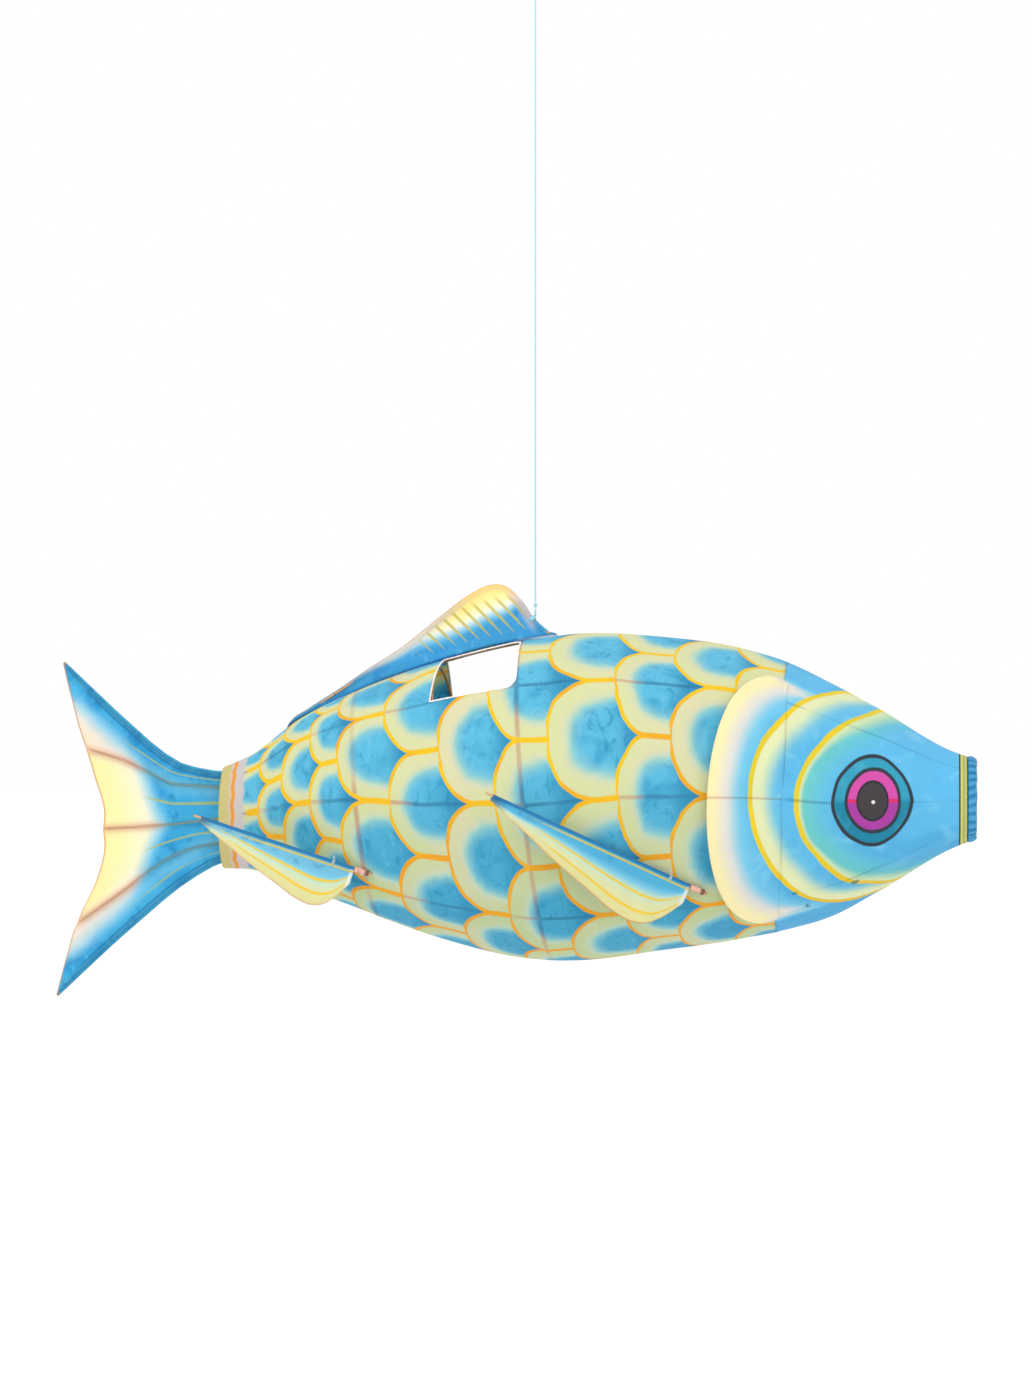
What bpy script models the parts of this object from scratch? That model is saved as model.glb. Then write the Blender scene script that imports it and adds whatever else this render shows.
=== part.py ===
"""Carp streamer: a painted cloth fish stretched over a bamboo frame and hung from one cord.

Metres, +Z up. The origin is the top of the hanging loop, the nose points along +X and the
fish's left side is +Y. The fish is laid out from its own axis, and then hung so that its tie
lies straight below the origin.
"""

import math

import bmesh
import bpy
from mathutils import Matrix, Vector

# Clearances and stock sizes
GAP = 0.0003
CLOTH = 0.0006
STRINGER_D = 0.0025
PEDUNCLE_HOOP_D = 0.0045
REAR_HOOP_D = 0.0040
MID_HOOP_D = 0.0035
GILL_HOOP_D = 0.0030
MOUTH_RING_D = 0.0028
VENT_ARCH_D = 0.0032
SPLINT_D = 0.0020
SPAR_D = 0.003
BOW_D = 0.003
TAIL_ROD_D = 0.0045

# Hanging cord
CORD_D = 0.0018
CORD_LENGTH = 0.620
CORD_POINTS = 80
LOOP_HEIGHT = 0.032
LOOP_WIDTH = 0.011
KNOT_D = 0.0046
KNOT_HEIGHT = 0.006
KNOT_SEGMENTS = 12
KNOT_RINGS = 8
TIE_LOOP_HEIGHT = 0.0085
TIE_LOOP_WIDTH = 0.0052
TIE_STATION = -0.0025
LOOP_POINTS = 16
LASHING_POINTS = 12

# Body: overall sizes, and its outline from the tail hem to the lip
BODY_LENGTH = 0.755
BODY_DEPTH = 0.326
BODY_WIDTH = 0.245
LIP_STATION = 0.437
# share of the length from the tail, then ridge, belly and side as shares of the half sizes
OUTLINE = (
    (0.000, 0.182, -0.446, 0.21),
    (0.037, 0.258, -0.455, 0.24),
    (0.103, 0.483, -0.560, 0.41),
    (0.175, 0.644, -0.674, 0.58),
    (0.290, 0.835, -0.860, 0.80),
    (0.411, 0.969, -0.982, 0.965),
    (0.481, 1.008, -0.992, 1.00),
    (0.587, 0.989, -0.926, 0.985),
    (0.693, 0.918, -0.850, 0.92),
    (0.751, 0.839, -0.793, 0.85),
    (0.819, 0.687, -0.693, 0.72),
    (0.874, 0.548, -0.551, 0.58),
    (0.981, 0.272, -0.264, 0.30),
    (1.000, 0.248, -0.233, 0.275),
)
CELLS_PER_SIDE = 12
CELL_TURN = 180 / CELLS_PER_SIDE

# Hoops: distance in from the body's ends or from the tie plane, and how far the top leans aft
PEDUNCLE_INSET = 0.008
PEDUNCLE_LEAN = 0.0
REAR_STATION = -0.168
REAR_LEAN = 0.10
MID_STATION = 0.004
MID_LEAN = 0.10
GILL_STATION = 0.247
GILL_LEAN = -0.04
MOUTH_INSET = 0.014
MOUTH_LEAN = 0.0
VENT_STATION = -0.085
CELLS_TAIL_BAY = 4
CELLS_REAR_BAY = 2
CELLS_VENT_BAY = 3
CELLS_FRONT_BAY = 6
CELLS_HEAD = 4

# Stringers
STRINGER_TURNS = {
    "top_stringer": 0,
    "upper_stringer_right": 45,
    "side_stringer_right": 90,
    "lower_stringer_right": 135,
    "belly_stringer": 180,
    "lower_stringer_left": -135,
    "side_stringer_left": -90,
    "upper_stringer_left": -45,
}
VENT_TURN = 45
STRINGER_OVERHANG = 0.0035
LIP_START = 0.0045

# Gill flaps
FLAP_WIDTH = 0.070
FLAP_CENTRE_TURN = 91.5
FLAP_HALF_TURN = 60
FLAP_TIP = 0.97
FLAP_SEAM = 0.003
FLAP_LIFT = 0.008
FLAP_CELLS_ROUND = 12
FLAP_CELLS_ACROSS = 3
FLAP_HEM = 0.002
FLAP_CURL = 1.5

# Dorsal fin: heights above the ridge, from its front end to its rear end
DORSAL_FRONT = 0.015
DORSAL_LENGTH = 0.260
DORSAL_HEIGHT = 0.062
DORSAL_SHAPE = (
    (0.00, 0.05),
    (0.06, 0.31),
    (0.12, 0.69),
    (0.175, 0.93),
    (0.233, 1.00),
    (0.30, 0.945),
    (0.41, 0.74),
    (0.585, 0.40),
    (0.70, 0.28),
    (0.82, 0.15),
    (1.00, 0.04),
)
DORSAL_POINTS = 27
DORSAL_CLOTH_REAR = 0.80
BOW_CLOTH_DROP = 0.0024
TIE_NOTCH_DEPTH = 0.0055
TIE_NOTCH_REACH = 0.011

# Paired fins: where the spar leaves the body, and where its tip stands
PECTORAL_STATION = 0.170
PECTORAL_TURN = 126
PECTORAL_TIP_OFFSET = (-0.196, 0.062, 0.094)
PECTORAL_CLOTH_LENGTH = 0.212
PECTORAL_CLOTH_WIDTH = 0.052
PELVIC_STATION = -0.161
PELVIC_TURN = 125
PELVIC_TIP_OFFSET = (-0.165, 0.020, 0.055)
PELVIC_CLOTH_LENGTH = 0.160
PELVIC_CLOTH_WIDTH = 0.045
FIN_SHAPE = (
    (0.00, 0.30),
    (0.04, 0.56),
    (0.10, 0.86),
    (0.18, 1.00),
    (0.28, 0.98),
    (0.42, 0.82),
    (0.62, 0.58),
    (0.82, 0.30),
    (1.00, 0.05),
)
SLEEVE_D = 0.006
SLEEVE_LENGTH = 0.014
SLEEVE_CLEARANCE = 0.0003
SLEEVE_SIDES = 16
SPAR_BUTT = 0.003
SPAR_POINTS = 4

# Tail: shares of its length back from the root, and of its span up from its middle
TAIL_LENGTH = 0.190
TAIL_SPAN = 0.345
TAIL_MIDDLE = -0.034
TAIL_ROOT_INSET = 0.013
TAIL_TOP_EDGE = ((0.18, 0.180), (0.34, 0.205), (0.42, 0.234), (0.59, 0.313), (0.92, 0.480))
TAIL_BOTTOM_EDGE = ((0.18, -0.122), (0.34, -0.179), (0.50, -0.253), (0.67, -0.334), (0.96, -0.482))
TAIL_UPPER_TIP = (0.963, 0.500)
TAIL_LOWER_TIP = (1.000, -0.500)
TAIL_TRAILING_EDGE = (
    (0.919, 0.411),
    (0.836, 0.248),
    (0.781, 0.145),
    (0.732, 0.041),
    (0.736, 0.000),
    (0.727, -0.048),
    (0.781, -0.166),
    (0.875, -0.273),
    (0.947, -0.389),
)
TAIL_RAYS = {
    "tail_upper_ray": ((0.08, 0.127), (0.36, 0.135), (0.49, 0.172), (0.63, 0.207), (0.80, 0.233)),
    "tail_middle_ray": ((0.14, 0.030), (0.36, 0.016), (0.71, 0.002)),
    "tail_lower_ray": ((0.06, -0.035), (0.22, -0.050), (0.40, -0.092), (0.63, -0.185), (0.85, -0.268)),
}
TAIL_SPAR_INSET = 0.0030
TAIL_POINTS = 10

# Finishes
ROD_ROUGHNESS = 0.6
CLOTH_ROUGHNESS = 0.8
SLEEVE_ROUGHNESS = 0.45
BAMBOO = (0.62, 0.45, 0.27, 1)
CLOTH_BLUE = (0.17, 0.63, 0.84, 1)
CLOTH_CREAM = (0.86, 0.88, 0.62, 1)
CLOTH_CYAN = (0.35, 0.78, 0.88, 1)
CORD_COLOUR = (0.55, 0.82, 0.88, 1)
SLEEVE_COLOUR = (0.80, 0.55, 0.50, 1)

TAIL_HEM_STATION = LIP_STATION - BODY_LENGTH
PEDUNCLE_STATION = TAIL_HEM_STATION + PEDUNCLE_INSET
MOUTH_STATION = LIP_STATION - MOUTH_INSET
STRINGER_DEPTH = CLOTH + GAP + STRINGER_D / 2
HOOPS = {
    "peduncle_hoop": (PEDUNCLE_STATION, PEDUNCLE_LEAN, PEDUNCLE_HOOP_D),
    "rear_hoop": (REAR_STATION, REAR_LEAN, REAR_HOOP_D),
    "mid_hoop": (MID_STATION, MID_LEAN, MID_HOOP_D),
    "gill_hoop": (GILL_STATION, GILL_LEAN, GILL_HOOP_D),
    "mouth_ring": (MOUTH_STATION, MOUTH_LEAN, MOUTH_RING_D),
}


# Geometry of the body


def hoop_depth(diameter):
    """How deep a hoop's centre lies: the cloth and the stringers come outside it."""
    return CLOTH + GAP + STRINGER_D + GAP + diameter / 2


def smooth(rows, x, column=1):
    """Height at x of the smooth curve through the rows, straight on past their ends."""
    xs = [row[0] for row in rows]
    ys = [row[column] for row in rows]
    steps = [(ys[i + 1] - ys[i]) / (xs[i + 1] - xs[i]) for i in range(len(xs) - 1)]
    slopes = [steps[0]]
    for i in range(1, len(steps)):
        before = xs[i] - xs[i - 1]
        after = xs[i + 1] - xs[i]
        slopes.append((steps[i - 1] * after + steps[i] * before) / (before + after))
    slopes.append(steps[-1])
    if x <= xs[0]:
        return ys[0] + slopes[0] * (x - xs[0])
    if x >= xs[-1]:
        return ys[-1] + slopes[-1] * (x - xs[-1])
    i = max(k for k in range(len(xs) - 1) if xs[k] <= x)
    span = xs[i + 1] - xs[i]
    t = (x - xs[i]) / span
    return (
        ys[i] * (1 + 2 * t) * (1 - t) ** 2
        + ys[i + 1] * t * t * (3 - 2 * t)
        + span * slopes[i] * t * (1 - t) ** 2
        + span * slopes[i + 1] * t * t * (t - 1)
    )


def straight(rows, x, column=1):
    """Height at x of the broken line through the rows, level past their ends."""
    if x <= rows[0][0]:
        return rows[0][column]
    for low, high in zip(rows, rows[1:]):
        if x <= high[0]:
            return low[column] + (high[column] - low[column]) * (x - low[0]) / (high[0] - low[0])
    return rows[-1][column]


def section(x):
    """Middle height, half depth and half width of the body at x."""
    share = (x - TAIL_HEM_STATION) / BODY_LENGTH
    ridge = smooth(OUTLINE, share, 1) * BODY_DEPTH / 2
    belly = smooth(OUTLINE, share, 2) * BODY_DEPTH / 2
    side = smooth(OUTLINE, share, 3) * BODY_WIDTH / 2
    return (ridge + belly) / 2, (ridge - belly) / 2, side


def on_surface(x, turn):
    """Outer surface at x: turn is 0 on the ridge, 90 on the right side, 180 on the belly."""
    middle, half_depth, half_width = section(x)
    angle = math.radians(turn)
    return Vector((x, -half_width * math.sin(angle), middle + half_depth * math.cos(angle)))


def surface_point(x, turn, depth=0.0):
    """A point this deep under the outer surface, or above it where depth is negative."""
    along = on_surface(x + 0.001, turn) - on_surface(x - 0.001, turn)
    around = on_surface(x, turn + 1) - on_surface(x, turn - 1)
    outward = around.cross(along).normalized()
    return on_surface(x, turn) - outward * depth


def ring_point(station, turn, depth=0.0):
    """The same on a ring of the frame, which leans between the hoops as they do."""
    lean = straight(sorted(HOOPS.values()), station)
    reach = section(station)[1] * math.cos(math.radians(turn))
    return surface_point(station - lean * reach, turn, depth)


def cloth_point(x, turn):
    """The surface at x as the cloth takes it, flat from one fold of its grid to the next."""
    fold = math.floor(turn / CELL_TURN) * CELL_TURN
    share = (turn - fold) / CELL_TURN
    return on_surface(x, fold).lerp(on_surface(x, fold + CELL_TURN), share)


def between(start, end, cells):
    return [start + (end - start) * i / cells for i in range(cells)]


BODY_RINGS = (
    [TAIL_HEM_STATION]
    + between(PEDUNCLE_STATION, REAR_STATION, CELLS_TAIL_BAY)
    + between(REAR_STATION, VENT_STATION, CELLS_REAR_BAY)
    + between(VENT_STATION, MID_STATION, CELLS_VENT_BAY)
    + between(MID_STATION, GILL_STATION, CELLS_FRONT_BAY)
    + [GILL_STATION - GAP / 2]
)
HEAD_RINGS = [GILL_STATION + GAP / 2] + between(GILL_STATION, MOUTH_STATION, CELLS_HEAD)[1:]
HEAD_RINGS += [MOUTH_STATION, MOUTH_STATION + LIP_START - GAP]
LIP_RINGS = [MOUTH_STATION + LIP_START, (MOUTH_STATION + LIP_START + LIP_STATION) / 2, LIP_STATION]
RIDGE = [(p.x, p.z) for p in (ring_point(s, 0) for s in BODY_RINGS + HEAD_RINGS[1:])]


def ridge_height(x):
    """Height of the sewn ridge, which runs straight from ring to ring."""
    return straight(RIDGE, x)


def dorsal_point(share):
    """Centre of the dorsal bow at this share of the fin's length."""
    x = DORSAL_FRONT - share * DORSAL_LENGTH
    rise = smooth(DORSAL_SHAPE, share) * DORSAL_HEIGHT
    slope = (ridge_height(x + BOW_D) - ridge_height(x - BOW_D)) / (2 * BOW_D)
    seated = (BOW_D / 2 + 3 * GAP) * math.hypot(1, slope)
    return Vector((x, 0, ridge_height(x) + max(rise - BOW_D / 2, seated)))


def tie_frame():
    """Where the lashing sits on the dorsal bow, the bow's direction there and the tie above it."""
    share = (DORSAL_FRONT - TIE_STATION) / DORSAL_LENGTH
    centre = dorsal_point(share)
    along = (dorsal_point(share + 0.01) - dorsal_point(share - 0.01)).normalized()
    upward = (Vector((0, 0, 1)) - along * along.z).normalized()
    return centre, along, centre + upward * (BOW_D / 2 + GAP + CORD_D + GAP / 2)


LASHING_CENTRE, LASHING_AXIS, TIE_POINT = tie_frame()
UPPER_PIVOT = Vector((0, 0, -LOOP_HEIGHT - GAP / 2))
CORD_TOP = UPPER_PIVOT.z - GAP / 2 - KNOT_HEIGHT - GAP
CORD_BOTTOM = CORD_TOP - CORD_LENGTH
LOWER_KNOT_TOP = CORD_BOTTOM - GAP
TIE_LOOP_TOP = LOWER_KNOT_TOP - KNOT_HEIGHT - GAP
LOWER_PIVOT = Vector((0, 0, TIE_LOOP_TOP - TIE_LOOP_HEIGHT - GAP / 2))
FISH_ORIGIN = LOWER_PIVOT - TIE_POINT


# Building objects


def clear_scene():
    for obj in list(bpy.data.objects):
        bpy.data.objects.remove(obj, do_unlink=True)


def material(name, colour, roughness):
    made = bpy.data.materials.new(name)
    made.use_nodes = True
    shader = made.node_tree.nodes["Principled BSDF"]
    shader.inputs["Base Color"].default_value = colour
    shader.inputs["Roughness"].default_value = roughness
    return made


def placed(name, data, parent, colour, roughness=CLOTH_ROUGHNESS):
    """A new object of the model, on its parent's frame."""
    obj = bpy.data.objects.new(name, data)
    bpy.data.collections["carp_streamer"].objects.link(obj)
    obj.parent = parent
    data.materials.append(material(name, colour, roughness))
    return obj


def frame_empty(name, parent, matrix):
    empty = bpy.data.objects.new(name, None)
    empty.empty_display_size = 0.03
    bpy.data.collections["carp_streamer"].objects.link(empty)
    empty.parent = parent
    empty.matrix_local = matrix
    return empty


def rod(name, points, diameter, parent, colour=BAMBOO, closed=False):
    """A round rod or cord through the points."""
    curve = bpy.data.curves.new(name, "CURVE")
    curve.dimensions = "3D"
    curve.bevel_depth = diameter / 2
    curve.bevel_resolution = 2
    curve.use_fill_caps = not closed
    spline = curve.splines.new("POLY")
    spline.points.add(len(points) - 1)
    for slot, point in zip(spline.points, points):
        slot.co = (*point, 1)
    spline.use_cyclic_u = closed
    return placed(name, curve, parent, colour, ROD_ROUGHNESS)


def flat_sheet(name, outline, parent, matrix, colour):
    """Cloth with this outline in the X-Y plane of the matrix, its middle on that plane."""
    curve = bpy.data.curves.new(name, "CURVE")
    curve.dimensions = "2D"
    curve.fill_mode = "BOTH"
    curve.extrude = CLOTH / 2
    spline = curve.splines.new("POLY")
    spline.points.add(len(outline) - 1)
    for slot, point in zip(spline.points, outline):
        slot.co = (point[0], point[1], 0, 1)
    spline.use_cyclic_u = True
    obj = placed(name, curve, parent, colour)
    obj.matrix_local = matrix
    return obj


def thickened(obj):
    """Cloth given its thickness to its inner side."""
    thick = obj.modifiers.new("cloth", "SOLIDIFY")
    thick.thickness = CLOTH
    thick.offset = -1
    return obj


def shell(name, rows, parent, colour, flip, left_out=()):
    """Cloth through a grid of points, thickened to its inner side; left_out holds open cells."""
    mesh = bpy.data.meshes.new(name)
    grid = bmesh.new()
    verts = [[grid.verts.new(point) for point in row] for row in rows]
    for i in range(len(rows) - 1):
        for j in range(len(rows[i]) - 1):
            if (i, j) in left_out:
                continue
            corners = [verts[i][j], verts[i + 1][j], verts[i + 1][j + 1], verts[i][j + 1]]
            grid.faces.new(corners if flip else corners[::-1])
    loose = [vert for vert in grid.verts if not vert.link_faces]
    bmesh.ops.delete(grid, geom=loose, context="VERTS")
    grid.to_mesh(mesh)
    grid.free()
    mesh.shade_smooth()
    return thickened(placed(name, mesh, parent, colour))


def turned(name, profile, parent, matrix, colour, sides):
    """A closed profile of (along, radius) points turned about the X axis of the matrix."""
    mesh = bpy.data.meshes.new(name)
    edges = [(i, (i + 1) % len(profile)) for i in range(len(profile))]
    mesh.from_pydata([(along, 0, radius) for along, radius in profile], edges, [])
    obj = placed(name, mesh, parent, colour, SLEEVE_ROUGHNESS)
    obj.matrix_local = matrix
    turning = obj.modifiers.new("turned", "SCREW")
    turning.axis = "X"
    turning.steps = sides
    turning.render_steps = sides
    turning.use_merge_vertices = True
    turning.merge_threshold = 0.00001
    return obj


def knot(name, top, parent):
    mesh = bpy.data.meshes.new(name)
    ball = bmesh.new()
    bmesh.ops.create_uvsphere(ball, u_segments=KNOT_SEGMENTS, v_segments=KNOT_RINGS, radius=0.5)
    bmesh.ops.scale(ball, vec=(KNOT_D, KNOT_D, KNOT_HEIGHT), verts=ball.verts)
    ball.to_mesh(mesh)
    ball.free()
    mesh.shade_smooth()
    obj = placed(name, mesh, parent, CORD_COLOUR)
    obj.location = (0, 0, top - KNOT_HEIGHT / 2)
    return obj


def eye(top, height, width):
    """Centre line of a loop of cord in the Y-Z plane, its outside this high and wide."""
    middle = top - height / 2
    rise = (height - CORD_D) / 2
    reach = (width - CORD_D) / 2
    turns = [2 * math.pi * i / LOOP_POINTS for i in range(LOOP_POINTS)]
    return [(0, reach * math.sin(turn), middle + rise * math.cos(turn)) for turn in turns]


# The pieces


def make_hanging_cord():
    rod("hanging_loop", eye(0, LOOP_HEIGHT, LOOP_WIDTH), CORD_D, None, CORD_COLOUR, True)
    knot("upper_knot", UPPER_PIVOT.z - GAP / 2, None)
    drops = [CORD_TOP - CORD_LENGTH * i / (CORD_POINTS - 1) for i in range(CORD_POINTS)]
    rod("hanging_cord", [(0, 0, z) for z in drops], CORD_D, None, CORD_COLOUR)
    knot("lower_knot", LOWER_KNOT_TOP, None)
    rod("tie_loop", eye(TIE_LOOP_TOP, TIE_LOOP_HEIGHT, TIE_LOOP_WIDTH), CORD_D, None, CORD_COLOUR, True)


def make_lashing(fish):
    """One tight turn of cord round the dorsal bow."""
    radius = BOW_D / 2 + GAP + CORD_D / 2
    upward = (TIE_POINT - LASHING_CENTRE).normalized()
    sideways = LASHING_AXIS.cross(upward)
    turns = [2 * math.pi * i / LASHING_POINTS for i in range(LASHING_POINTS)]
    ring = [LASHING_CENTRE + radius * (upward * math.cos(a) + sideways * math.sin(a)) for a in turns]
    rod("bow_lashing", ring, CORD_D, fish, CORD_COLOUR, True)


def make_frame(fish):
    turns = [CELL_TURN * i for i in range(2 * CELLS_PER_SIDE)]
    for name, (station, _, diameter) in HOOPS.items():
        depth = hoop_depth(diameter)
        rod(name, [ring_point(station, turn, depth) for turn in turns], diameter, fish, closed=True)
    first = PEDUNCLE_STATION - STRINGER_OVERHANG
    last = MOUTH_STATION + STRINGER_OVERHANG
    stations = [first] + BODY_RINGS[1:-1] + [GILL_STATION] + HEAD_RINGS[1:-1] + [last]
    for name, turn in STRINGER_TURNS.items():
        rod(name, [ring_point(s, turn, STRINGER_DEPTH) for s in stations], STRINGER_D, fish)
    steps = int(2 * VENT_TURN / CELL_TURN)
    turns = [-VENT_TURN + CELL_TURN * i for i in range(steps + 1)]
    arch = [ring_point(VENT_STATION, turn, hoop_depth(VENT_ARCH_D)) for turn in turns]
    rod("vent_arch", arch, VENT_ARCH_D, fish)


def skin_rows(rings, side):
    """Grid rows from the ridge to the belly, held half a gap off the middle plane."""
    rows = []
    for station in rings:
        row = [ring_point(station, side * CELL_TURN * i) for i in range(CELLS_PER_SIDE + 1)]
        for point in (row[0], row[-1]):
            point.y = -side * GAP
        rows.append(row)
    return rows


def make_skins(fish):
    bay = range(BODY_RINGS.index(VENT_STATION), BODY_RINGS.index(MID_STATION))
    open_cells = {(i, j) for i in bay for j in range(int(VENT_TURN / CELL_TURN))}
    for side, word in ((1, "right"), (-1, "left")):
        body = skin_rows(BODY_RINGS, side)
        shell(f"body_skin_{word}", body, fish, CLOTH_CREAM, side < 0, open_cells)
        shell(f"head_skin_{word}", skin_rows(HEAD_RINGS, side), fish, CLOTH_BLUE, side < 0)


def make_lip(fish):
    """The hem that runs right round in front of the mouth ring."""
    mesh = bpy.data.meshes.new("lip_hem")
    grid = bmesh.new()
    around = 2 * CELLS_PER_SIDE
    rows = []
    for station in LIP_RINGS:
        rows.append([grid.verts.new(ring_point(station, CELL_TURN * j)) for j in range(around)])
    for low, high in zip(rows, rows[1:]):
        for j in range(around):
            k = (j + 1) % around
            grid.faces.new((low[j], low[k], high[k], high[j]))
    grid.to_mesh(mesh)
    grid.free()
    mesh.shade_smooth()
    thickened(placed("lip_hem", mesh, fish, CLOTH_BLUE))


def flap_edge(share):
    """Turn, width and lift of a gill flap at this share, from -1 at its top to 1 at its foot."""
    swell = math.sqrt(1 - share * share)
    turn = FLAP_CENTRE_TURN + FLAP_HALF_TURN * share
    lift = 2 * (SPLINT_D / 2 + GAP) + GAP + FLAP_LIFT * swell
    return turn, FLAP_WIDTH * swell, lift


def flap_point(share, across, side, depth=0.0):
    """A point of a gill flap's inner face; across runs from its seam, 0, to its free edge, 1."""
    turn, width, lift = flap_edge(share)
    seam = ring_point(GILL_STATION, turn).x + FLAP_SEAM
    rise = GAP + CLOTH / 2 + lift * across ** FLAP_CURL
    return surface_point(seam - width * across, side * turn, depth - rise)


def make_gills(fish):
    count = FLAP_CELLS_ROUND
    shares = [FLAP_TIP * (2 * i / count - 1) for i in range(count + 1)]
    steps = [i / FLAP_CELLS_ACROSS for i in range(FLAP_CELLS_ACROSS + 1)]
    for side, word in ((1, "right"), (-1, "left")):
        rows = [[flap_point(share, across, side, -CLOTH) for share in shares] for across in steps[::-1]]
        shell(f"gill_flap_{word}", rows, fish, CLOTH_CYAN, side < 0)
        edge = []
        for share in shares:
            inward = FLAP_HEM / flap_edge(share)[1]
            edge.append(flap_point(share, 1 - inward, side, GAP + SPLINT_D / 2 + CLOTH / 2))
        rod(f"gill_bow_{word}", edge, SPLINT_D, fish)


def upright(x=0.0, z=0.0, y=0.0):
    """Frame whose X-Y plane is the fish's middle plane, or one beside it."""
    return Matrix.Translation((x, y, z)) @ Matrix.Rotation(math.pi / 2, 4, "X")


def make_dorsal_fin(fish):
    shares = [i / (DORSAL_POINTS - 1) for i in range(DORSAL_POINTS)]
    rod("dorsal_bow", [dorsal_point(share) for share in shares], BOW_D, fish)
    top = []
    for share in shares:
        bow = dorsal_point(share)
        slack = TIE_NOTCH_DEPTH if abs(bow.x - TIE_STATION) < TIE_NOTCH_REACH else 0.0
        under = bow.z - BOW_CLOTH_DROP - GAP - slack
        if share <= DORSAL_CLOTH_REAR and under > ridge_height(bow.x) + BOW_D / 2:
            top.append((bow.x, under))
    front = top[0][0]
    rear = top[-1][0]
    stations = [rear] + [x for x, _ in RIDGE if rear < x < front] + [front]
    foot = [(x, ridge_height(x) + 2 * GAP) for x in stations]
    flat_sheet("dorsal_fin_skin", top + foot, fish, upright(), CLOTH_BLUE)


def fin_frame(station, turn, tip_offset, side):
    """Frame of a paired fin: X along the spar to its tip, Y down its cloth, origin in the sleeve."""
    reach = Vector(tip_offset)
    reach.y *= -side
    along = reach.normalized()
    outward = (surface_point(station, side * turn, -1) - on_surface(station, side * turn)).normalized()
    tilt = abs(along.dot(outward))
    standoff = tilt * SLEEVE_LENGTH / 2 + math.sqrt(1 - tilt * tilt) * SLEEVE_D / 2 + 2 * GAP
    root = cloth_point(station, side * turn) + outward * standoff
    down = Vector((0, 0, -1))
    down = (down - along * along.dot(down)).normalized()
    normal = along.cross(down)
    matrix = Matrix.Translation(root) @ Matrix((along, down, normal)).transposed().to_4x4()
    return matrix, reach.length


def make_fin(fish, name, word, frame, cloth_length, cloth_width):
    matrix, spar_length = frame
    sleeve_end = SLEEVE_LENGTH / 2
    bore = SPAR_D / 2 + SLEEVE_CLEARANCE
    ring = ((-sleeve_end, bore), (sleeve_end, bore), (sleeve_end, SLEEVE_D / 2), (-sleeve_end, SLEEVE_D / 2))
    turned(f"{name}_sleeve_{word}", ring, fish, matrix, SLEEVE_COLOUR, SLEEVE_SIDES)
    hinge = frame_empty(f"{name}_hinge_{word}", fish, matrix)
    start = -sleeve_end - SPAR_BUTT
    stations = between(start, spar_length, SPAR_POINTS - 1) + [spar_length]
    rod(f"{name}_spar_{word}", [(x, 0, 0) for x in stations], SPAR_D, hinge)
    root = sleeve_end + 2 * GAP
    upper = SPAR_D / 2 + GAP
    points = [(root, upper)]
    points += [(root + share * cloth_length, upper + width * cloth_width) for share, width in FIN_SHAPE]
    points.append((root + cloth_length, upper))
    flat_sheet(f"{name}_skin_{word}", points[::-1], hinge, Matrix(), CLOTH_CYAN)


def make_paired_fins(fish):
    for side, word in ((1, "right"), (-1, "left")):
        pectoral = fin_frame(PECTORAL_STATION, PECTORAL_TURN, PECTORAL_TIP_OFFSET, side)
        make_fin(fish, "pectoral", word, pectoral, PECTORAL_CLOTH_LENGTH, PECTORAL_CLOTH_WIDTH)
        pelvic = fin_frame(PELVIC_STATION, PELVIC_TURN, PELVIC_TIP_OFFSET, side)
        make_fin(fish, "pelvic", word, pelvic, PELVIC_CLOTH_LENGTH, PELVIC_CLOTH_WIDTH)


def make_tail(fish):
    """Everything is laid out from the hinge axis, which is upright through the peduncle hoop."""
    hinge = frame_empty("tail_hinge", fish, Matrix.Translation((PEDUNCLE_STATION, 0, 0)))
    root = TAIL_HEM_STATION + TAIL_ROOT_INSET - PEDUNCLE_STATION
    seat = PEDUNCLE_HOOP_D / 2 + 2 * GAP + TAIL_ROD_D / 2
    upper_root = ring_point(PEDUNCLE_STATION, 0, hoop_depth(PEDUNCLE_HOOP_D)).z - seat
    lower_root = ring_point(PEDUNCLE_STATION, 180, hoop_depth(PEDUNCLE_HOOP_D)).z + seat

    def point(back, up):
        return (root - back * TAIL_LENGTH, TAIL_MIDDLE + up * TAIL_SPAN)

    def level(height):
        """Past the hoop the frame runs level, so that it clears the hoop."""
        return [(root, height), (-PEDUNCLE_HOOP_D, height)]

    def run(rows):
        start = rows[1][0]
        end = rows[-1][0]
        steps = [rows[0][0]] + between(start, end, TAIL_POINTS) + [end]
        return [(x, smooth(sorted(rows), x)) for x in steps]

    def rod_at(name, rows, inset=0.0):
        rod(name, [(x, 0, z + inset) for x, z in run(rows)], TAIL_ROD_D, hinge)

    upper_tip = point(*TAIL_UPPER_TIP)
    lower_tip = point(*TAIL_LOWER_TIP)
    upper_edge = [point(*row) for row in TAIL_TOP_EDGE]
    lower_edge = [point(*row) for row in TAIL_BOTTOM_EDGE]
    inset = TAIL_SPAR_INSET
    rod_at("tail_upper_spar", level(upper_root + inset) + upper_edge, -inset)
    rod_at("tail_lower_spar", level(lower_root - inset) + lower_edge, inset)
    for name, rows in TAIL_RAYS.items():
        rod_at(name, [point(*row) for row in rows])
    top = run(level(upper_root) + upper_edge)
    bottom = run(level(lower_root) + lower_edge)
    trailing = [point(*row) for row in TAIL_TRAILING_EDGE]
    outline = top + [upper_tip] + trailing + [lower_tip] + bottom[::-1]
    beside = TAIL_ROD_D / 2 + GAP + CLOTH / 2
    for side, word in ((1, "right"), (-1, "left")):
        flat_sheet(f"tail_skin_{word}", outline, hinge, upright(y=-side * beside), CLOTH_BLUE)


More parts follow.
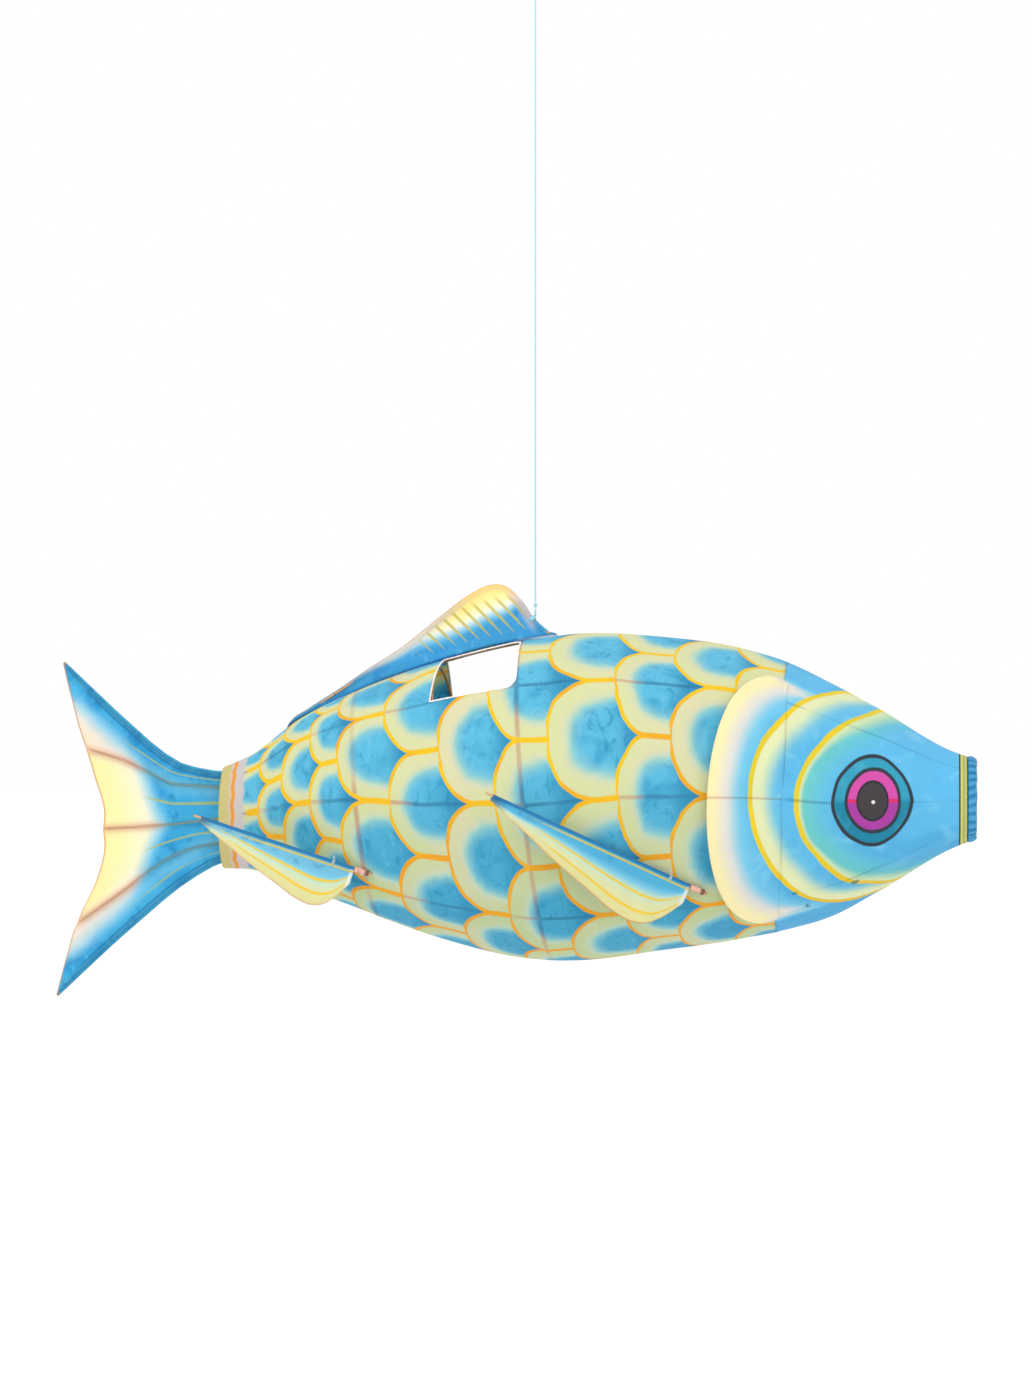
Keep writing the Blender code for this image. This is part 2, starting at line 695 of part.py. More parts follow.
def main():
    clear_scene()
    collection = bpy.data.collections.new("carp_streamer")
    bpy.context.scene.collection.children.link(collection)
    fish = frame_empty("fish_frame", None, Matrix.Translation(FISH_ORIGIN))
    make_hanging_cord()
    make_lashing(fish)
    make_frame(fish)
    make_skins(fish)
    make_lip(fish)
    make_gills(fish)
    make_dorsal_fin(fish)
    make_paired_fins(fish)
    make_tail(fish)


main()
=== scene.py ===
import math
import random

import bpy
import numpy as np
from mathutils import Matrix, Vector, noise


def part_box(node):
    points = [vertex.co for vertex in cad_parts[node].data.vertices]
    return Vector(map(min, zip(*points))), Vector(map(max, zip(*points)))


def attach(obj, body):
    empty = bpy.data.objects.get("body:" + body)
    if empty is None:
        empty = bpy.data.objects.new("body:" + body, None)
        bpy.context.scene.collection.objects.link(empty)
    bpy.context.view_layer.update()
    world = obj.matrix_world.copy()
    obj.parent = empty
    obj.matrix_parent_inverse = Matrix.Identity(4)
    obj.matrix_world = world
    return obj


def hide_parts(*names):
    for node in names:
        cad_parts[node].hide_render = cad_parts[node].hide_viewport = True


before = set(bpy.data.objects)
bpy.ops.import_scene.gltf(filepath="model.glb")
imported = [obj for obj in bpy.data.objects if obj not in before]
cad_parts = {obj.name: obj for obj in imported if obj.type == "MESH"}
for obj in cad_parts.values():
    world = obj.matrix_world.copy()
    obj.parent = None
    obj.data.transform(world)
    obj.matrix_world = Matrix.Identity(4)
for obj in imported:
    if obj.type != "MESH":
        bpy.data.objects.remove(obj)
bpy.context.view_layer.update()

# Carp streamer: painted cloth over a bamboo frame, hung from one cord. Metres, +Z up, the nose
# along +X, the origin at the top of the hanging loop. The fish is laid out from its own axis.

SIDES = ((1, "right"), (-1, "left"))
GAP = 0.0003
CLOTH = 0.0004
CAD_CLOTH = 0.0006
RIGHT = np.array((0.0, -1.0, 0.0))
FISH = np.array((-0.00045, 0.0, -0.85499))

# Body outline: share of the length from the tail, then ridge, belly and side as shares of the half sizes
BODY_LENGTH = 0.755
BODY_DEPTH = 0.326
BODY_WIDTH = 0.245
LIP_STATION = 0.437
HEM_STATION = LIP_STATION - BODY_LENGTH
OUTLINE = (
    (0.000, 0.182, -0.446, 0.21),
    (0.037, 0.258, -0.455, 0.24),
    (0.103, 0.483, -0.560, 0.41),
    (0.175, 0.644, -0.674, 0.58),
    (0.290, 0.835, -0.860, 0.80),
    (0.411, 0.969, -0.982, 0.965),
    (0.481, 1.008, -0.992, 1.00),
    (0.587, 0.989, -0.926, 0.985),
    (0.693, 0.918, -0.850, 0.92),
    (0.751, 0.839, -0.793, 0.85),
    (0.819, 0.687, -0.693, 0.72),
    (0.874, 0.548, -0.551, 0.58),
    (0.981, 0.272, -0.264, 0.30),
    (1.000, 0.248, -0.233, 0.275),
)

# Hoops: station, lean aft at the top, rod diameter
STRINGER_D = 0.0025
HOOPS = {
    "peduncle_hoop": (-0.310, 0.0, 0.0045),
    "rear_hoop": (-0.168, 0.10, 0.0040),
    "mid_hoop": (0.004, 0.10, 0.0035),
    "gill_hoop": (0.247, -0.04, 0.0030),
    "mouth_ring": (0.423, 0.0, 0.0028),
}
HOOP_ROWS = sorted(HOOPS.values())
PEDUNCLE_STATION = HOOPS["peduncle_hoop"][0]
REAR_STATION = HOOPS["rear_hoop"][0]
MID_STATION = HOOPS["mid_hoop"][0]
GILL_STATION = HOOPS["gill_hoop"][0]
MOUTH_STATION = HOOPS["mouth_ring"][0]
VENT_STATION = -0.085
VENT_ARCH_D = 0.0032
VENT_TURNS = (3.0, 45.0)
VENT_SLANT = 0.009
HEAD_FRONT = MOUTH_STATION + 0.0042
STRINGERS = {
    "top_stringer": 0,
    "upper_stringer_right": 45,
    "side_stringer_right": 90,
    "lower_stringer_right": 135,
    "belly_stringer": 180,
    "lower_stringer_left": -135,
    "side_stringer_left": -90,
    "upper_stringer_left": -45,
}


# Curves and surfaces of the fish, in its own frame


def smooth(rows, x, column=1):
    """Height at x of the smooth curve through the rows, straight on past their ends."""
    x = np.asarray(x, float)
    xs = np.array([row[0] for row in rows], float)
    ys = np.array([row[column] for row in rows], float)
    gaps = np.diff(xs)
    steps = np.diff(ys) / gaps
    inner = (steps[:-1] * gaps[1:] + steps[1:] * gaps[:-1]) / (gaps[1:] + gaps[:-1])
    slopes = np.concatenate([steps[:1], inner, steps[-1:]])
    i = np.clip(np.searchsorted(xs, x, side="right") - 1, 0, len(gaps) - 1)
    span = gaps[i]
    t = (x - xs[i]) / span
    inside = (
        ys[i] * (1 + 2 * t) * (1 - t) ** 2
        + ys[i + 1] * t * t * (3 - 2 * t)
        + span * slopes[i] * t * (1 - t) ** 2
        + span * slopes[i + 1] * t * t * (t - 1)
    )
    low = ys[0] + slopes[0] * (x - xs[0])
    high = ys[-1] + slopes[-1] * (x - xs[-1])
    return np.where(x < xs[0], low, np.where(x > xs[-1], high, inside))


def straight(rows, x, column=1):
    return np.interp(x, [row[0] for row in rows], [row[column] for row in rows])


def section(x):
    """Middle height, half depth and half width of the body at x."""
    share = (x - HEM_STATION) / BODY_LENGTH
    ridge = smooth(OUTLINE, share, 1) * BODY_DEPTH / 2
    belly = smooth(OUTLINE, share, 2) * BODY_DEPTH / 2
    side = smooth(OUTLINE, share, 3) * BODY_WIDTH / 2
    return (ridge + belly) / 2, (ridge - belly) / 2, side


def on_surface(x, turn):
    """Outer surface at x: turn is 0 on the ridge, 90 on the right side, 180 on the belly."""
    middle, depth, width = section(x)
    angle = np.radians(turn)
    return np.stack(np.broadcast_arrays(x, -width * np.sin(angle), middle + depth * np.cos(angle)), -1)


def unit(vectors):
    return vectors / np.maximum(np.linalg.norm(vectors, axis=-1, keepdims=True), 1e-12)


def outward(x, turn):
    along = on_surface(x + 0.001, turn) - on_surface(x - 0.001, turn)
    around = on_surface(x, turn + 1) - on_surface(x, turn - 1)
    return unit(np.cross(around, along))


def surface_point(x, turn, depth=0.0):
    """A point this deep under the outer surface."""
    return on_surface(x, turn) - outward(x, turn) * np.asarray(depth)[..., None]


def ring_x(station, turn):
    """Where a ring of the frame lies at this turn: it leans between the hoops as they do."""
    lean = straight(HOOP_ROWS, station)
    return station - lean * section(station)[1] * np.cos(np.radians(turn))


def ring_point(station, turn, depth=0.0):
    return surface_point(ring_x(station, turn), turn, depth)


def hoop_depth(diameter):
    return CAD_CLOTH + GAP + STRINGER_D + GAP + diameter / 2


def noise_at(points, scale, seed=0.0):
    """Smooth noise from -1 to 1 at each point."""
    flat = np.asarray(points, float).reshape(-1, 3) * scale + seed
    values = [noise.noise(Vector(point)) for point in flat]
    return np.array(values).reshape(np.asarray(points).shape[:-1])


# Meshes


def mesh_piece(name, points, faces, body, attributes=None, origin=FISH):
    """A mesh piece from points of the fish's frame; attributes give each point three numbers."""
    mesh = bpy.data.meshes.new(name)
    mesh.from_pydata((np.asarray(points, float).reshape(-1, 3) + origin).tolist(), [], faces)
    for key, values in (attributes or {}).items():
        layer = mesh.attributes.new(key, "FLOAT_VECTOR", "POINT")
        layer.data.foreach_set("vector", np.asarray(values, np.float32).reshape(-1))
    mesh.validate()
    mesh.shade_smooth()
    obj = bpy.data.objects.new(name, mesh)
    bpy.context.scene.collection.objects.link(obj)
    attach(obj, body)
    return obj


def dressed(obj, finish, slot, *nodes):
    """Gives a piece its finish and puts it in place of these CAD nodes, which it hides. The slot is not used.
    """
    obj.data.materials.append(finish)
    if nodes:
        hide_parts(*nodes)


def grid_faces(rows, columns, closed=False, skip=None, flip=False):
    """Quads of a grid whose rows run along and whose columns run round; skip marks open cells."""
    faces = []
    for i in range(rows - 1):
        for j in range(columns if closed else columns - 1):
            if skip is not None and skip[i, j]:
                continue
            k = (j + 1) % columns
            face = (i * columns + j, i * columns + k, (i + 1) * columns + k, (i + 1) * columns + j)
            faces.append(face[::-1] if flip else face)
    return faces


def thicken(obj, thickness=CLOTH):
    solid = obj.modifiers.new("cloth", "SOLIDIFY")
    solid.thickness = thickness
    solid.offset = -1


def three(*columns):
    """Attribute columns as one array of three numbers for each point."""
    filled = list(columns) + [0.0] * (3 - len(columns))
    return np.stack(np.broadcast_arrays(*filled), -1)


def pillow(name, middle, half, normal, body, attributes, origin=FISH):
    """Two layers of cloth sewn at their edge: a grid of middle points and half the thickness at each."""
    rows, columns = middle.shape[:2]
    inside = np.zeros((rows, columns), bool)
    inside[1:-1, 1:-1] = True
    half = np.where(inside, half, 0.0)
    front = middle + normal * half[..., None]
    back = middle - normal * half[..., None]
    number = np.arange(rows * columns).reshape(rows, columns)
    behind = number.copy()
    behind[inside] = rows * columns + np.arange(inside.sum())
    points = np.concatenate([front.reshape(-1, 3), back[inside]])
    faces = []
    for i in range(rows - 1):
        for j in range(columns - 1):
            cell = ((i, j), (i, j + 1), (i + 1, j + 1), (i + 1, j))
            faces.append(tuple(int(number[c]) for c in cell))
            faces.append(tuple(int(behind[c]) for c in cell[::-1]))
    doubled = {}
    for key, values in attributes.items():
        doubled[key] = np.concatenate([values.reshape(-1, 3), values[inside]])
    return mesh_piece(name, points, faces, body, doubled, origin)


def frames_along(path, closed, up=None):
    """The path with its side and up vectors; up may be given for each point."""
    path = np.asarray(path, float)
    if closed:
        tangent = unit(np.roll(path, -1, 0) - np.roll(path, 1, 0))
    else:
        tangent = unit(np.gradient(path, axis=0))
    if up is None:
        up = np.zeros_like(path)
        start = np.array((0, 0, 1.0)) if abs(tangent[0][2]) < 0.9 else np.array((1.0, 0, 0))
        for i, t in enumerate(tangent):
            start = unit(start - t * start.dot(t))
            up[i] = start
    up = unit(up - tangent * (up * tangent).sum(-1, keepdims=True))
    return path, np.cross(tangent, up), up


def sweep(path, profile, closed=False, up=None, scale=None, twist=None):
    """Points and faces of a profile carried along a path; the profile's pairs are (side, up)."""
    path, side, up = frames_along(path, closed, up)
    count = len(path)
    profile = np.asarray(profile, float)
    scale = np.ones(count) if scale is None else np.asarray(scale)
    twist = np.zeros(count) if twist is None else np.asarray(twist)
    c, s = np.cos(twist)[:, None], np.sin(twist)[:, None]
    a = profile[None, :, 0] * c - profile[None, :, 1] * s
    b = profile[None, :, 0] * s + profile[None, :, 1] * c
    offset = a[..., None] * side[:, None] + b[..., None] * up[:, None]
    points = path[:, None] + offset * scale[:, None, None]
    width = len(profile)
    faces = []
    for i in range(count if closed else count - 1):
        k = (i + 1) % count
        for j in range(width):
            m = (j + 1) % width
            faces.append((i * width + j, k * width + j, k * width + m, i * width + m))
    if not closed:
        faces.append(tuple(range(width)))
        faces.append(tuple(range((count - 1) * width, count * width))[::-1])
    return points.reshape(-1, 3), faces


def circle(count):
    """Angles all the way round, in radians."""
    return np.arange(count) * 2 * math.pi / count


def disc(radius, sides=12, lobes=0, depth=0.0):
    """A round profile, or one of several strands where lobes is given."""
    turns = circle(sides)
    reach = radius * (1 - depth + depth * np.abs(np.cos(turns * lobes / 2)))
    return np.stack([reach * np.cos(turns), reach * np.sin(turns)], -1)


def joined(shapes):
    """Several (points, faces) as one."""
    points, faces, start = [], [], 0
    for some, some_faces in shapes:
        points.append(np.asarray(some, float).reshape(-1, 3))
        faces += [tuple(index + start for index in face) for face in some_faces]
        start += len(points[-1])
    return np.concatenate(points), faces


# Materials: arithmetic on sockets adds nodes

THREAD_PITCH = 0.0007
LIGHT_THROUGH = 0.42


def colour(code):
    """Linear colour of a six-digit sRGB code."""
    parts = [int(code[i : i + 2], 16) / 255 for i in (0, 2, 4)]
    return tuple(p / 12.92 if p <= 0.04045 else ((p + 0.055) / 1.055) ** 2.4 for p in parts) + (1.0,)


class Field:
    """A value in a material's node tree. Arithmetic on it adds Math nodes."""

    def __init__(self, tree, socket):
        self.tree = tree
        self.socket = socket

    def plug(self, slot, value):
        if isinstance(value, Field):
            self.tree.links.new(value.socket, slot)
        else:
            slot.default_value = value

    def math(self, operation, *values):
        node = self.tree.nodes.new("ShaderNodeMath")
        node.operation = operation
        for slot, value in zip(node.inputs, values):
            self.plug(slot, value)
        return Field(self.tree, node.outputs[0])

    def __add__(self, other):
        return self.math("ADD", self, other)

    __radd__ = __add__

    def __mul__(self, other):
        return self.math("MULTIPLY", self, other)

    __rmul__ = __mul__

    def __sub__(self, other):
        return self.math("SUBTRACT", self, other)

    def __rsub__(self, other):
        return self.math("SUBTRACT", other, self)

    def __truediv__(self, other):
        return self.math("DIVIDE", self, other)

    def __abs__(self):
        return self.math("ABSOLUTE", self)

    def root(self):
        return self.math("SQRT", self)

    def floor(self):
        return self.math("FLOOR", self)

    def least(self, other):
        return self.math("MINIMUM", self, other)

    def most(self, other):
        return self.math("MAXIMUM", self, other)

    def below(self, other):
        return self.math("LESS_THAN", self, other)

    def wave(self, period):
        """Rises and falls between 0 and 1 over the period."""
        return self.math("PINGPONG", self, period / 2) * (2 / period)

    def rise(self, low, high):
        """Smooth step from 0 at low to 1 at high."""
        node = self.tree.nodes.new("ShaderNodeMapRange")
        node.interpolation_type = "SMOOTHSTEP"
        self.plug(node.inputs["Value"], self)
        self.plug(node.inputs["From Min"], low)
        self.plug(node.inputs["From Max"], high)
        return Field(self.tree, node.outputs["Result"])

    def fall(self, low, high):
        return 1 - self.rise(low, high)

    def band(self, half, soft):
        """1 within this distance of zero, falling softly to 0."""
        return 1 - abs(self).rise(half - soft, half + soft)


def length_of(across, up):
    return (across * across + up * up).root()


class Paint:
    """One material: its colour is mixed from fields, and the cloth or wood is finished at the end."""

    def __init__(self, name):
        self.material = bpy.data.materials.new(name)
        self.material.use_nodes = True
        self.tree = self.material.node_tree
        self.tree.nodes.clear()

    def attribute(self, name):
        node = self.tree.nodes.new("ShaderNodeAttribute")
        node.attribute_name = name
        parts = self.tree.nodes.new("ShaderNodeSeparateXYZ")
        self.tree.links.new(node.outputs["Vector"], parts.inputs[0])
        return [Field(self.tree, socket) for socket in parts.outputs]

    def place(self):
        node = self.tree.nodes.new("ShaderNodeTexCoord")
        return Field(self.tree, node.outputs["Object"])

    def stretched(self, x, y, z):
        """Object coordinates multiplied along each axis."""
        node = self.tree.nodes.new("ShaderNodeMapping")
        self.tree.links.new(self.place().socket, node.inputs["Vector"])
        node.inputs["Scale"].default_value = (x, y, z)
        return Field(self.tree, node.outputs[0])

    def noise(self, scale, detail=2.0, distortion=0.0, vector=None):
        node = self.tree.nodes.new("ShaderNodeTexNoise")
        node.inputs["Scale"].default_value = scale
        node.inputs["Detail"].default_value = detail
        node.inputs["Distortion"].default_value = distortion
        self.tree.links.new((vector or self.place()).socket, node.inputs["Vector"])
        return Field(self.tree, node.outputs["Fac"])

    def mix(self, first, second, share, blend="MIX"):
        node = self.tree.nodes.new("ShaderNodeMix")
        node.data_type = "RGBA"
        node.blend_type = blend
        field = Field(self.tree, None)
        field.plug(node.inputs[0], share)
        field.plug(node.inputs[6], first)
        field.plug(node.inputs[7], second)
        return Field(self.tree, node.outputs[2])

    def layers(self, base, *coats):
        """Coats of (colour, share) laid over the base one after another."""
        for coat, share in coats:
            base = self.mix(base, colour(coat) if isinstance(coat, str) else coat, share)
        return base

    def shader(self, base, roughness, height=None, bump=0.2, reach=0.0005, **settings):
        node = self.tree.nodes.new("ShaderNodeBsdfPrincipled")
        field = Field(self.tree, None)
        field.plug(node.inputs["Base Color"], base)
        field.plug(node.inputs["Roughness"], roughness)
        for key, value in settings.items():
            node.inputs[key.replace("_", " ")].default_value = value
        if height is not None:
            relief = self.tree.nodes.new("ShaderNodeBump")
            relief.inputs["Strength"].default_value = bump
            relief.inputs["Distance"].default_value = reach
            self.tree.links.new(height.socket, relief.inputs["Height"])
            self.tree.links.new(relief.outputs[0], node.inputs["Normal"])
        return node

    def solid(self, *look, **settings):
        """The whole material from one Principled shader."""
        return self.output(self.shader(*look, **settings).outputs[0])

    def output(self, socket):
        node = self.tree.nodes.new("ShaderNodeOutputMaterial")
        self.tree.links.new(socket, node.inputs["Surface"])
        return self.material

    def weave(self):
        """Threads over and under along the cloth's own two directions."""
        along, across, _ = self.attribute("cloth")
        return (along / THREAD_PITCH).wave(1.0) * 0.5 + (across / THREAD_PITCH).wave(1.0) * 0.5

    def cloth(self, base, relief=None):
        """Thin plain-woven cloth: matt, a little sheen, and light comes through it."""
        threads = self.weave()
        slub = self.noise(900, 1.0)
        base = self.mix(base, colour("FFFFFF"), (threads * slub).rise(0.30, 0.75) * 0.05)
        crumple = self.noise(70, 3.0, 0.8)
        height = threads * 0.25 + slub * 0.15 + crumple * 1.2
        if relief is not None:
            height = height + relief * 0.4
        face = self.shader(base, self.noise(160, 2.0) * 0.15 + 0.72, height, 0.35, 0.0006,
                           Sheen_Weight=0.15, Sheen_Roughness=0.5, Specular_IOR_Level=0.25)
        through = self.tree.nodes.new("ShaderNodeBsdfTranslucent")
        self.tree.links.new(base.socket, through.inputs["Color"])
        both = self.tree.nodes.new("ShaderNodeMixShader")
        both.inputs[0].default_value = LIGHT_THROUGH
        self.tree.links.new(face.outputs[0], both.inputs[1])
        self.tree.links.new(through.outputs[0], both.inputs[2])
        return self.output(both.outputs[0])


# Camera, at the picture's view angle

CAMERA_PLACE = (0.3983, -2.9734, -0.7460)
CAMERA_TURN = 8.0
VIEW_HEIGHT = 1.378
VIEW_DISTANCE = 3.0


def make_camera():
    data = bpy.data.cameras.new("camera")
    data.sensor_fit = "AUTO"
    data.angle = 2 * math.atan(VIEW_HEIGHT / 2 / VIEW_DISTANCE)
    camera = bpy.data.objects.new("camera", data)
    camera.location = CAMERA_PLACE
    camera.rotation_euler = (math.pi / 2, 0, math.radians(CAMERA_TURN))
    bpy.context.scene.collection.objects.link(camera)
    bpy.context.scene.camera = camera


# Hanging cord

CORD_D = 0.0018
CORD_LENGTH = 0.620
LOOP_HEIGHT = 0.032
LOOP_WIDTH = 0.011
KNOT_HEIGHT = 0.006
KNOT_D = 0.0046
TIE_LOOP_HEIGHT = 0.0085
TIE_LOOP_WIDTH = 0.0052
UPPER_KNOT_TOP = -LOOP_HEIGHT - GAP
CORD_TOP = UPPER_KNOT_TOP - KNOT_HEIGHT - GAP
CORD_BOTTOM = CORD_TOP - CORD_LENGTH
LOWER_KNOT_TOP = CORD_BOTTOM - GAP
TIE_LOOP_TOP = LOWER_KNOT_TOP - KNOT_HEIGHT - GAP
STRAND_LAY = 0.0075


def cord_material():
    paint = Paint("twisted_cord")
    fibres = paint.noise(1.0, 3.0, 0.4, paint.stretched(2600, 2600, 500))
    light = ("DDF4F6", (1 - fibres).rise(0.6, 0.8) * 0.6)
    base = paint.layers(colour("8FCDDC"), ("5FAFC2", fibres.rise(0.45, 0.75) * 0.7), light)
    return paint.solid(base, fibres * 0.2 + 0.65, fibres, 0.4, 0.0002, Sheen_Weight=0.3)


def cord_tube(path, closed=False):
    """A cord of three twisted strands along the path."""
    path = np.asarray(path, float)
    steps = np.linalg.norm(np.diff(path, axis=0), axis=1)
    run = np.concatenate([[0], np.cumsum(steps)])
    twist = run / STRAND_LAY * 2 * math.pi
    if closed:
        total = run[-1] + np.linalg.norm(path[0] - path[-1])
        turns = max(1, round(total / STRAND_LAY))
        twist = run / total * turns * 2 * math.pi
    return sweep(path, disc(CORD_D / 2, 15, 3, 0.22), closed, None, None, twist)


def ring_of(top, height, width, count=72):
    turns = circle(count)
    middle = top - height / 2
    side = (width - CORD_D) / 2 * np.sin(turns)
    return np.stack([0 * turns, side, middle + (height - CORD_D) / 2 * np.cos(turns)], -1)


def knot_tube(top):
    """An overhand knot pulled tight: a trefoil of cord as wide and high as the knot."""
    t = circle(90)
    x = np.sin(t) + 2 * np.sin(2 * t)
    y = np.cos(t) - 2 * np.cos(2 * t)
    z = -np.sin(3 * t)
    reach = (KNOT_D - CORD_D) / 2 / 3
    rise = (KNOT_HEIGHT - CORD_D) / 2 / 3
    path = np.stack([z * reach * 1.4, x * reach, y * rise + top - KNOT_HEIGHT / 2], -1)
    return cord_tube(path, True)


def make_cord():
    world = np.zeros(3)
    finish = cord_material()
    heights = np.linspace(CORD_TOP, CORD_BOTTOM, 830)
    route = [(0.0, 0.0, float(z)) for z in heights]
    tie = ring_of(TIE_LOOP_TOP, TIE_LOOP_HEIGHT, TIE_LOOP_WIDTH, 48)
    parts = {
        "loop_piece": ("hanging_loop", "loop", cord_tube(ring_of(0, LOOP_HEIGHT, LOOP_WIDTH), True)),
        "upper_knot_piece": ("upper_knot", "swivel", knot_tube(UPPER_KNOT_TOP)),
        "cord_piece": ("hanging_cord", "cord", cord_tube(route)),
        "lower_knot_piece": ("lower_knot", "knot", knot_tube(LOWER_KNOT_TOP)),
        "tie_loop_piece": ("tie_loop", "tie", cord_tube(tie, True)),
    }
    made = {}
    for name, (node, body, (points, faces)) in parts.items():
        obj = mesh_piece(name, points, faces, body, origin=world)
        dressed(obj, finish, "cord", node)
        made[name] = obj
    others = [made[name] for name in parts if name != "cord_piece"]
    return finish


make_camera()
CORD_FINISH = make_cord()

# Cloth of the body and the head

BODY_TURN_STEP = 1.5
CLOTH_STEP = 0.0032
FLATTER = 0.55
# Ring station of each column of scales, from the hem forward
SCALE_STATIONS = (
    -0.3083, -0.2761, -0.2499, -0.2180, -0.1875, -0.1332, -0.0796,
    -0.0245, 0.0306, 0.0944, 0.1460, 0.2018, 0.2550,
)
COLUMN_ROWS = [(station, i - 1) for i, station in enumerate(SCALE_STATIONS)]
# Turn, then x, of the painted arcs on the head
ARC_2 = (
    (8, 0.307), (30, 0.284), (55, 0.251), (70, 0.231),
    (87, 0.222), (105, 0.228), (128, 0.254), (152, 0.299),
)
ARC_3 = (
    (8, 0.341), (36, 0.321), (63, 0.286), (78, 0.270), (92, 0.265),
    (105, 0.2705), (121, 0.291), (147, 0.330), (167, 0.354),
)
EYE_CENTRE = (0.3375, 0.0015)

FLAP_WIDTH = 0.070
FLAP_CENTRE_TURN = 91.5
FLAP_HALF_TURN = 60
FLAP_SEAM = 0.003
FLAP_LIFT = 0.008
FLAP_CURL = 1.5
SPLINT_D = 0.0020


def fold(turn):
    """Turn from the ridge down either side, 0 to 180."""
    return np.abs((turn + 180) % 360 - 180)


def girth(x):
    """Half the way round the body at x."""
    _, depth, width = section(x)
    return math.pi * np.sqrt((depth**2 + width**2) / 2)


def bay_share(station):
    """How far between two hoops a station lies, 0 to 1, and how far it is from the nearer one."""
    marks = np.array([row[0] for row in HOOP_ROWS])
    i = np.clip(np.searchsorted(marks, station, side="right") - 1, 0, len(marks) - 2)
    share = np.clip((station - marks[i]) / (marks[i + 1] - marks[i]), 0, 1)
    nearest = np.min(np.abs(np.asarray(station)[..., None] - marks), -1)
    return share, nearest


def cloth_point(station, turn):
    """The cloth as it hangs on the frame: flatter between strips, gathered a little at the hoops."""
    x = ring_x(station, turn)
    half = girth(x) / math.pi
    share, nearest = bay_share(station)
    between_strips = np.abs(np.sin(np.radians(fold(turn) * 4)))
    arch = np.exp(-(((station - VENT_STATION) / 0.024) ** 2)) * np.clip((62 - fold(turn)) / 14, 0, 1)
    between_hoops = np.sin(math.pi * share) ** 0.6 * (1 - arch)
    sag = FLATTER * half * (1 - math.cos(math.radians(22.5))) * between_strips**1.3 * between_hoops
    rough = on_surface(x, turn)
    folds = noise_at(rough * (16, 34, 34), 1.0, 3.1) * 0.0011 * between_hoops * (0.3 + between_strips)
    pleats = np.cos(np.radians(fold(turn) * 48) + 3 * noise_at(rough, 30.0, 9.0))
    gathers = pleats * 0.0003 * np.exp(-nearest / 0.016) * np.minimum(nearest / 0.004, 1)
    return rough - outward(x, turn) * (sag + folds + gathers)[..., None]


def arc_distance(rows, x, side_turn, half):
    """Distance forward of a painted arc, measured square to it."""
    here = smooth(rows, side_turn)
    slope = (smooth(rows, side_turn + 1) - smooth(rows, side_turn - 1)) / 2 / (half / 180)
    return (x - here) / np.sqrt(1 + slope**2)


def flap_edge_x(side_turn):
    """x of the gill flap's free edge at this turn, where it has one."""
    share = np.clip((side_turn - FLAP_CENTRE_TURN) / FLAP_HALF_TURN, -1, 1)
    return ring_x(GILL_STATION, side_turn) + FLAP_SEAM - FLAP_WIDTH * np.sqrt(1 - share**2)


def head_fields(x, turn, z):
    side_turn = fold(turn)
    half = girth(x)
    share = np.abs(side_turn - FLAP_CENTRE_TURN) / FLAP_HALF_TURN
    swell = np.sqrt(1 - np.minimum(share, 1) ** 2)
    first = (x - flap_edge_x(side_turn)) * (0.25 + 0.75 * swell) + 0.30 * np.maximum(share - 0.93, 0)
    arcs = three(first, arc_distance(ARC_2, x, side_turn, half), arc_distance(ARC_3, x, side_turn, half))
    eye = three(x - EYE_CENTRE[0], z - EYE_CENTRE[1], side_turn / 22.5)
    return {"arcs": arcs, "eye": eye}


def cloth_fields(station, turn, x):
    side_turn = fold(turn)
    half = girth(x)
    column = smooth(COLUMN_ROWS, station)
    pitch = 0.002 / (smooth(COLUMN_ROWS, station + 0.001) - smooth(COLUMN_ROWS, station - 0.001))
    across = side_turn / 180 * half
    return {
        "scales": three(column, side_turn / 22.5, station),
        "cell": three(pitch, half / 8, x),
        "cloth": three(station, across),
    }


